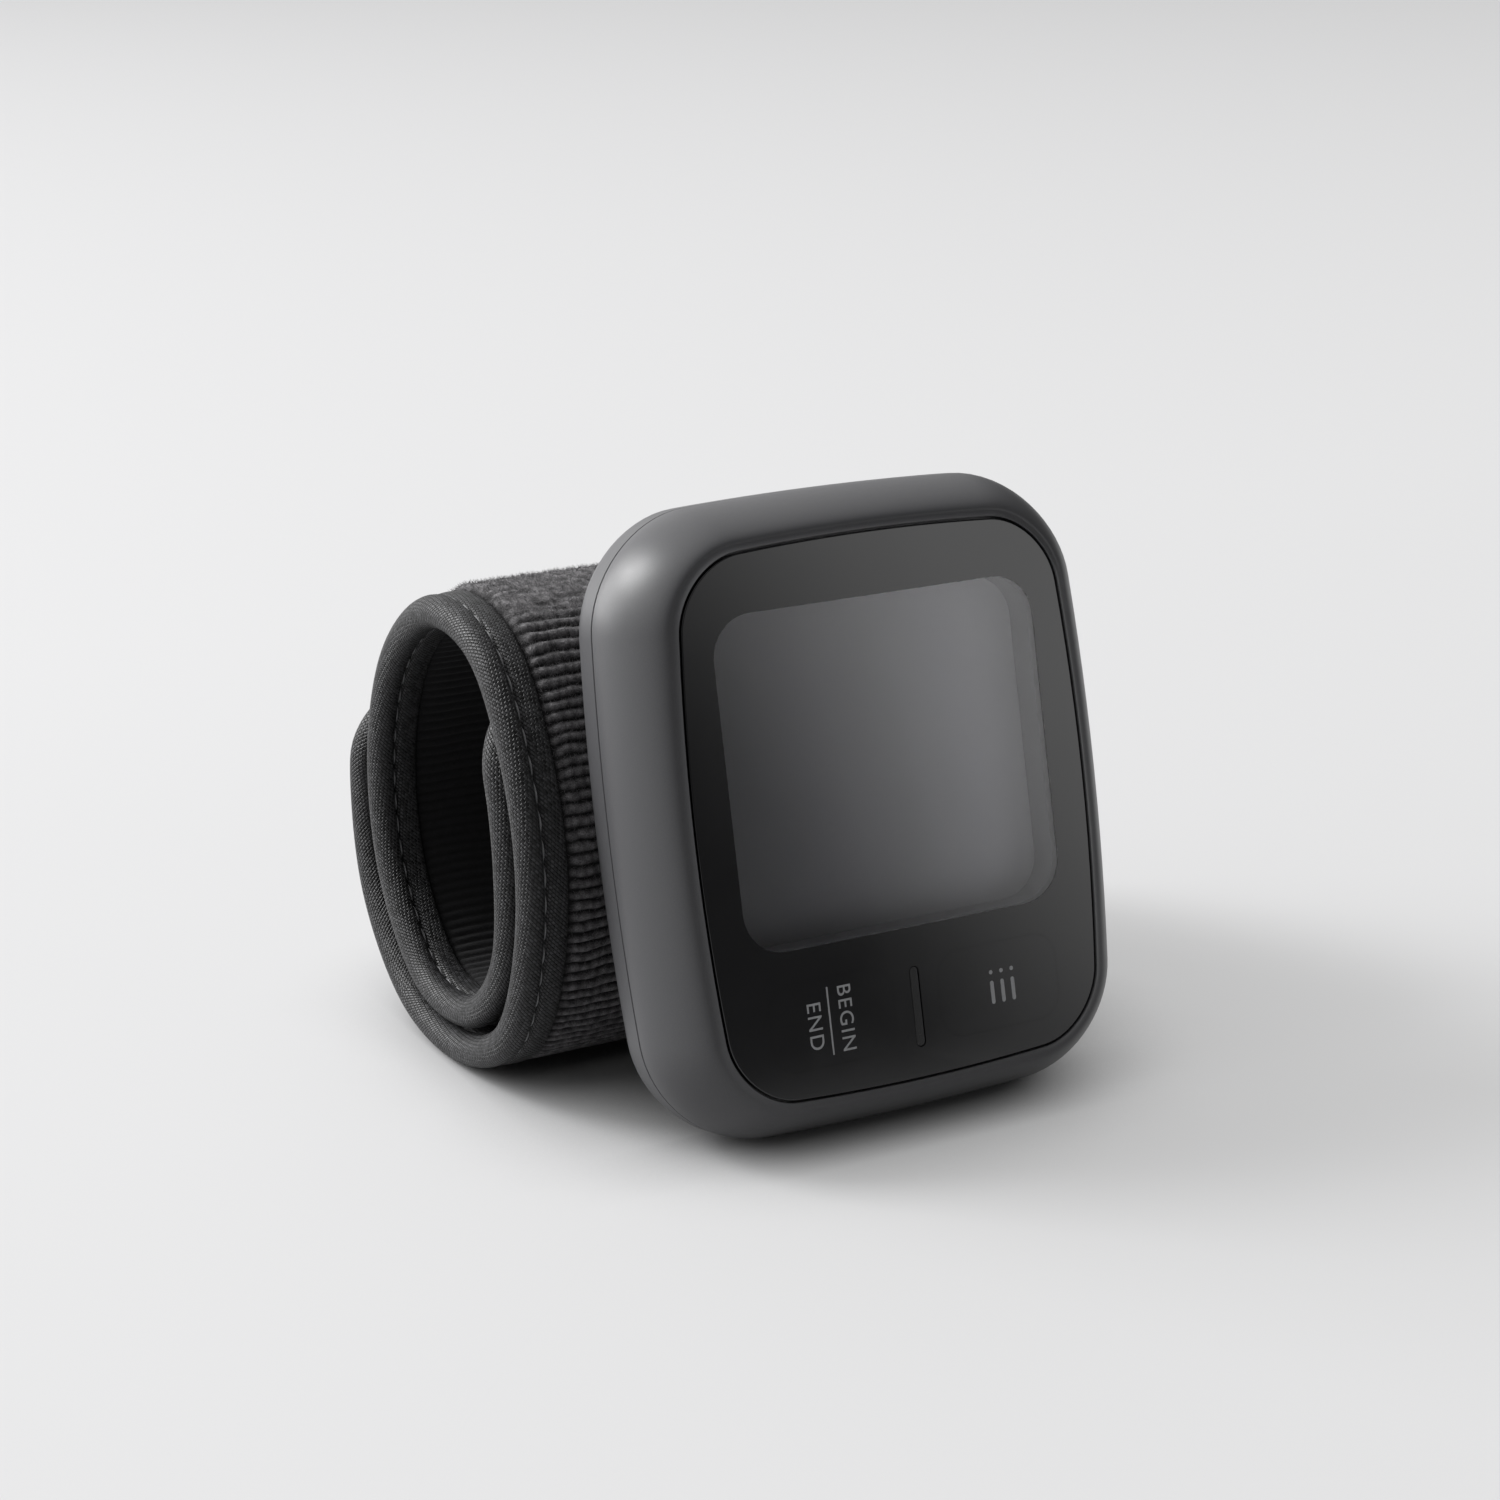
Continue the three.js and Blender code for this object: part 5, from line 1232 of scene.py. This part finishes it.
hook = laid_sheet("hook_tape", HOOK_COLUMNS + 3, len(hook_rows) - 1, hook_spot, crease=60)
hook_nylon = new_material("black_hook_nylon", "#17171a", 0.5, {"IOR": 1.53})
make_uneven(hook_nylon, HOOK_GRAIN, detail=2.0, bump=(0.7, 0.1))
dress(hook, hook_nylon)
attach(hook, "tail")
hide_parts("hook_patch")


# Floor: a wide pale table top, matt and even, that fills the picture behind the part. Eyes, mirrors
# and glass see it paler than it lights the part, by a glow that dims with the depth in metres behind
# the part and in the deep shade close to it.
FLOOR_SIZE = 9.0
FLOOR_GLOWS = (0.42, 0.28)
FLOOR_DEPTHS = (0.2, 1.6)
SHADE_REACH = 0.028
SHADE_RANGE = (0.14, 0.85)
bpy.ops.object.select_all(action="DESELECT")
bpy.ops.mesh.primitive_plane_add(size=FLOOR_SIZE)
floor = bpy.context.object
floor.name = "studio_floor"
table = new_material("pale_table", "#8d8d8e", 0.9)
dress(floor, table)
ray = add_node(table, "ShaderNodeLightPath")
mirrored = add_node(table, "ShaderNodeMath",
                    {0: ray.outputs["Is Glossy Ray"], 1: ray.outputs["Is Transmission Ray"]},
                    operation="ADD")
seen = add_node(table, "ShaderNodeMath",
                {0: ray.outputs["Is Camera Ray"], 1: mirrored.outputs["Value"]}, operation="ADD")
shade = add_node(table, "ShaderNodeAmbientOcclusion", {"Distance": SHADE_REACH})
open_floor = add_node(table, "ShaderNodeMapRange",
                      {"Value": shade.outputs["AO"], "From Min": SHADE_RANGE[0],
                       "From Max": SHADE_RANGE[1]})
floor_place = add_node(table, "ShaderNodeSeparateXYZ",
                       {"Vector": add_node(table, "ShaderNodeTexCoord").outputs["Object"]})
fall_off = add_node(table, "ShaderNodeMapRange",
                    {"Value": floor_place.outputs["Y"], "From Min": FLOOR_DEPTHS[0],
                     "From Max": FLOOR_DEPTHS[1], "To Min": FLOOR_GLOWS[0], "To Max": FLOOR_GLOWS[1]})
pale = add_node(table, "ShaderNodeMath",
                {0: fall_off.outputs["Result"], 1: open_floor.outputs["Result"]}, operation="MULTIPLY")
add_node(table, "ShaderNodeMath",
         {0: seen.outputs["Value"], 1: pale.outputs["Value"]}, {"Value": "Emission Strength"},
         operation="MULTIPLY")
table.node_tree.nodes["Principled BSDF"].inputs["Emission Color"].default_value = srgb("#ffffff")


# Light: a pale surround, brightest above and behind on the left, with one large softbox there that
# grazes the side and a small one higher up that draws the highlight on the upper left corner. At the
# front right stands one soft-edged bright panel, which the face mirrors as its gradient.
# Ways are directions from the part. The panel brightens across its edge between two shares of the
# edge's way, and fades out round its middle between two angles in degrees.
PANEL_EDGE_WAY = (0.777, 0.449, 0.443)
PANEL_EDGE = (-0.02, 0.096)
PANEL_MIDDLE_WAY = (0.556, -0.8245, 0.1045)
PANEL_ANGLES = (22, 10)
PANEL_STRENGTH = 1.85
SKY_WAY = (-0.52, 0.66, 0.54)
SKY_REACH = (0.1, 0.9)
SKY_STRENGTHS = (0.11, 1.3)
PART_MIDDLE = Vector((0, 0, 0.035))
KEY_LIGHT_WAY = (-0.575, 0.475, 0.66)
BACK_LIGHT_WAY = (-0.66, 0.66, 0.36)
SOFTBOX_DISTANCE = 2.0
world = bpy.data.worlds.new("studio")
bpy.context.scene.world = world
world.use_nodes = True
world.node_tree.nodes["Background"].inputs["Color"].default_value = srgb("#ffffff")
away = add_node(world, "ShaderNodeTexCoord").outputs["Generated"]
edge_side = add_node(world, "ShaderNodeVectorMath", {0: away, 1: PANEL_EDGE_WAY},
                     operation="DOT_PRODUCT")
panel_edge = add_node(world, "ShaderNodeMapRange",
                      {"Value": edge_side.outputs["Value"], "From Min": PANEL_EDGE[0],
                       "From Max": PANEL_EDGE[1], "To Max": PANEL_STRENGTH},
                      interpolation_type="SMOOTHSTEP")
nearness = add_node(world, "ShaderNodeVectorMath", {0: away, 1: PANEL_MIDDLE_WAY},
                    operation="DOT_PRODUCT")
panel_reach = add_node(world, "ShaderNodeMapRange",
                       {"Value": nearness.outputs["Value"],
                        "From Min": math.cos(math.radians(PANEL_ANGLES[0])),
                        "From Max": math.cos(math.radians(PANEL_ANGLES[1]))},
                       interpolation_type="SMOOTHSTEP")
sky_side = add_node(world, "ShaderNodeVectorMath", {0: away, 1: SKY_WAY}, operation="DOT_PRODUCT")
sky = add_node(world, "ShaderNodeMapRange",
               {"Value": sky_side.outputs["Value"], "From Min": SKY_REACH[0], "From Max": SKY_REACH[1],
                "To Min": SKY_STRENGTHS[0], "To Max": SKY_STRENGTHS[1]}, interpolation_type="SMOOTHSTEP")
add_node(world, "ShaderNodeMath",
         {0: panel_edge.outputs["Result"], 1: panel_reach.outputs["Result"], 2: sky.outputs["Result"]},
         {"Value": "Strength"}, operation="MULTIPLY_ADD")


def softbox(name, way, size, power):
    """Square area light, its size in metres and its power in watts, that looks back at the part."""
    lamp = bpy.data.lights.new(name, "AREA")
    lamp.size = size
    lamp.energy = power
    box = bpy.data.objects.new(name, lamp)
    bpy.context.scene.collection.objects.link(box)
    way = Vector(way).normalized()
    box.location = way * SOFTBOX_DISTANCE + PART_MIDDLE
    box.rotation_euler = way.to_track_quat("Z", "Y").to_euler()


softbox("key_softbox", KEY_LIGHT_WAY, size=0.6, power=26.0)
softbox("back_softbox", BACK_LIGHT_WAY, size=1.3, power=34.0)


# Camera: the photograph's view, from the left front and a little above, through a long lens. Its
# place and way were fitted to the outlines of the face, the head, the seam and the cuff's rim.
CAMERA_PLACE = Vector((-0.18222, -0.33152, 0.16113))
CAMERA_WAY = Vector((0.45525, 0.83349, -0.31312))
FOCAL_LENGTH = 79.2
SENSOR_WIDTH = 36
NEAREST = 0.01
camera_data = bpy.data.cameras.new("camera")
camera_data.lens = FOCAL_LENGTH
camera_data.sensor_width = SENSOR_WIDTH
camera_data.clip_start = NEAREST
camera = bpy.data.objects.new("camera", camera_data)
bpy.context.scene.collection.objects.link(camera)
camera.location = CAMERA_PLACE
camera.rotation_euler = CAMERA_WAY.to_track_quat("-Z", "Y").to_euler()
bpy.context.scene.camera = camera
bpy.context.scene.view_settings.view_transform = "Standard"
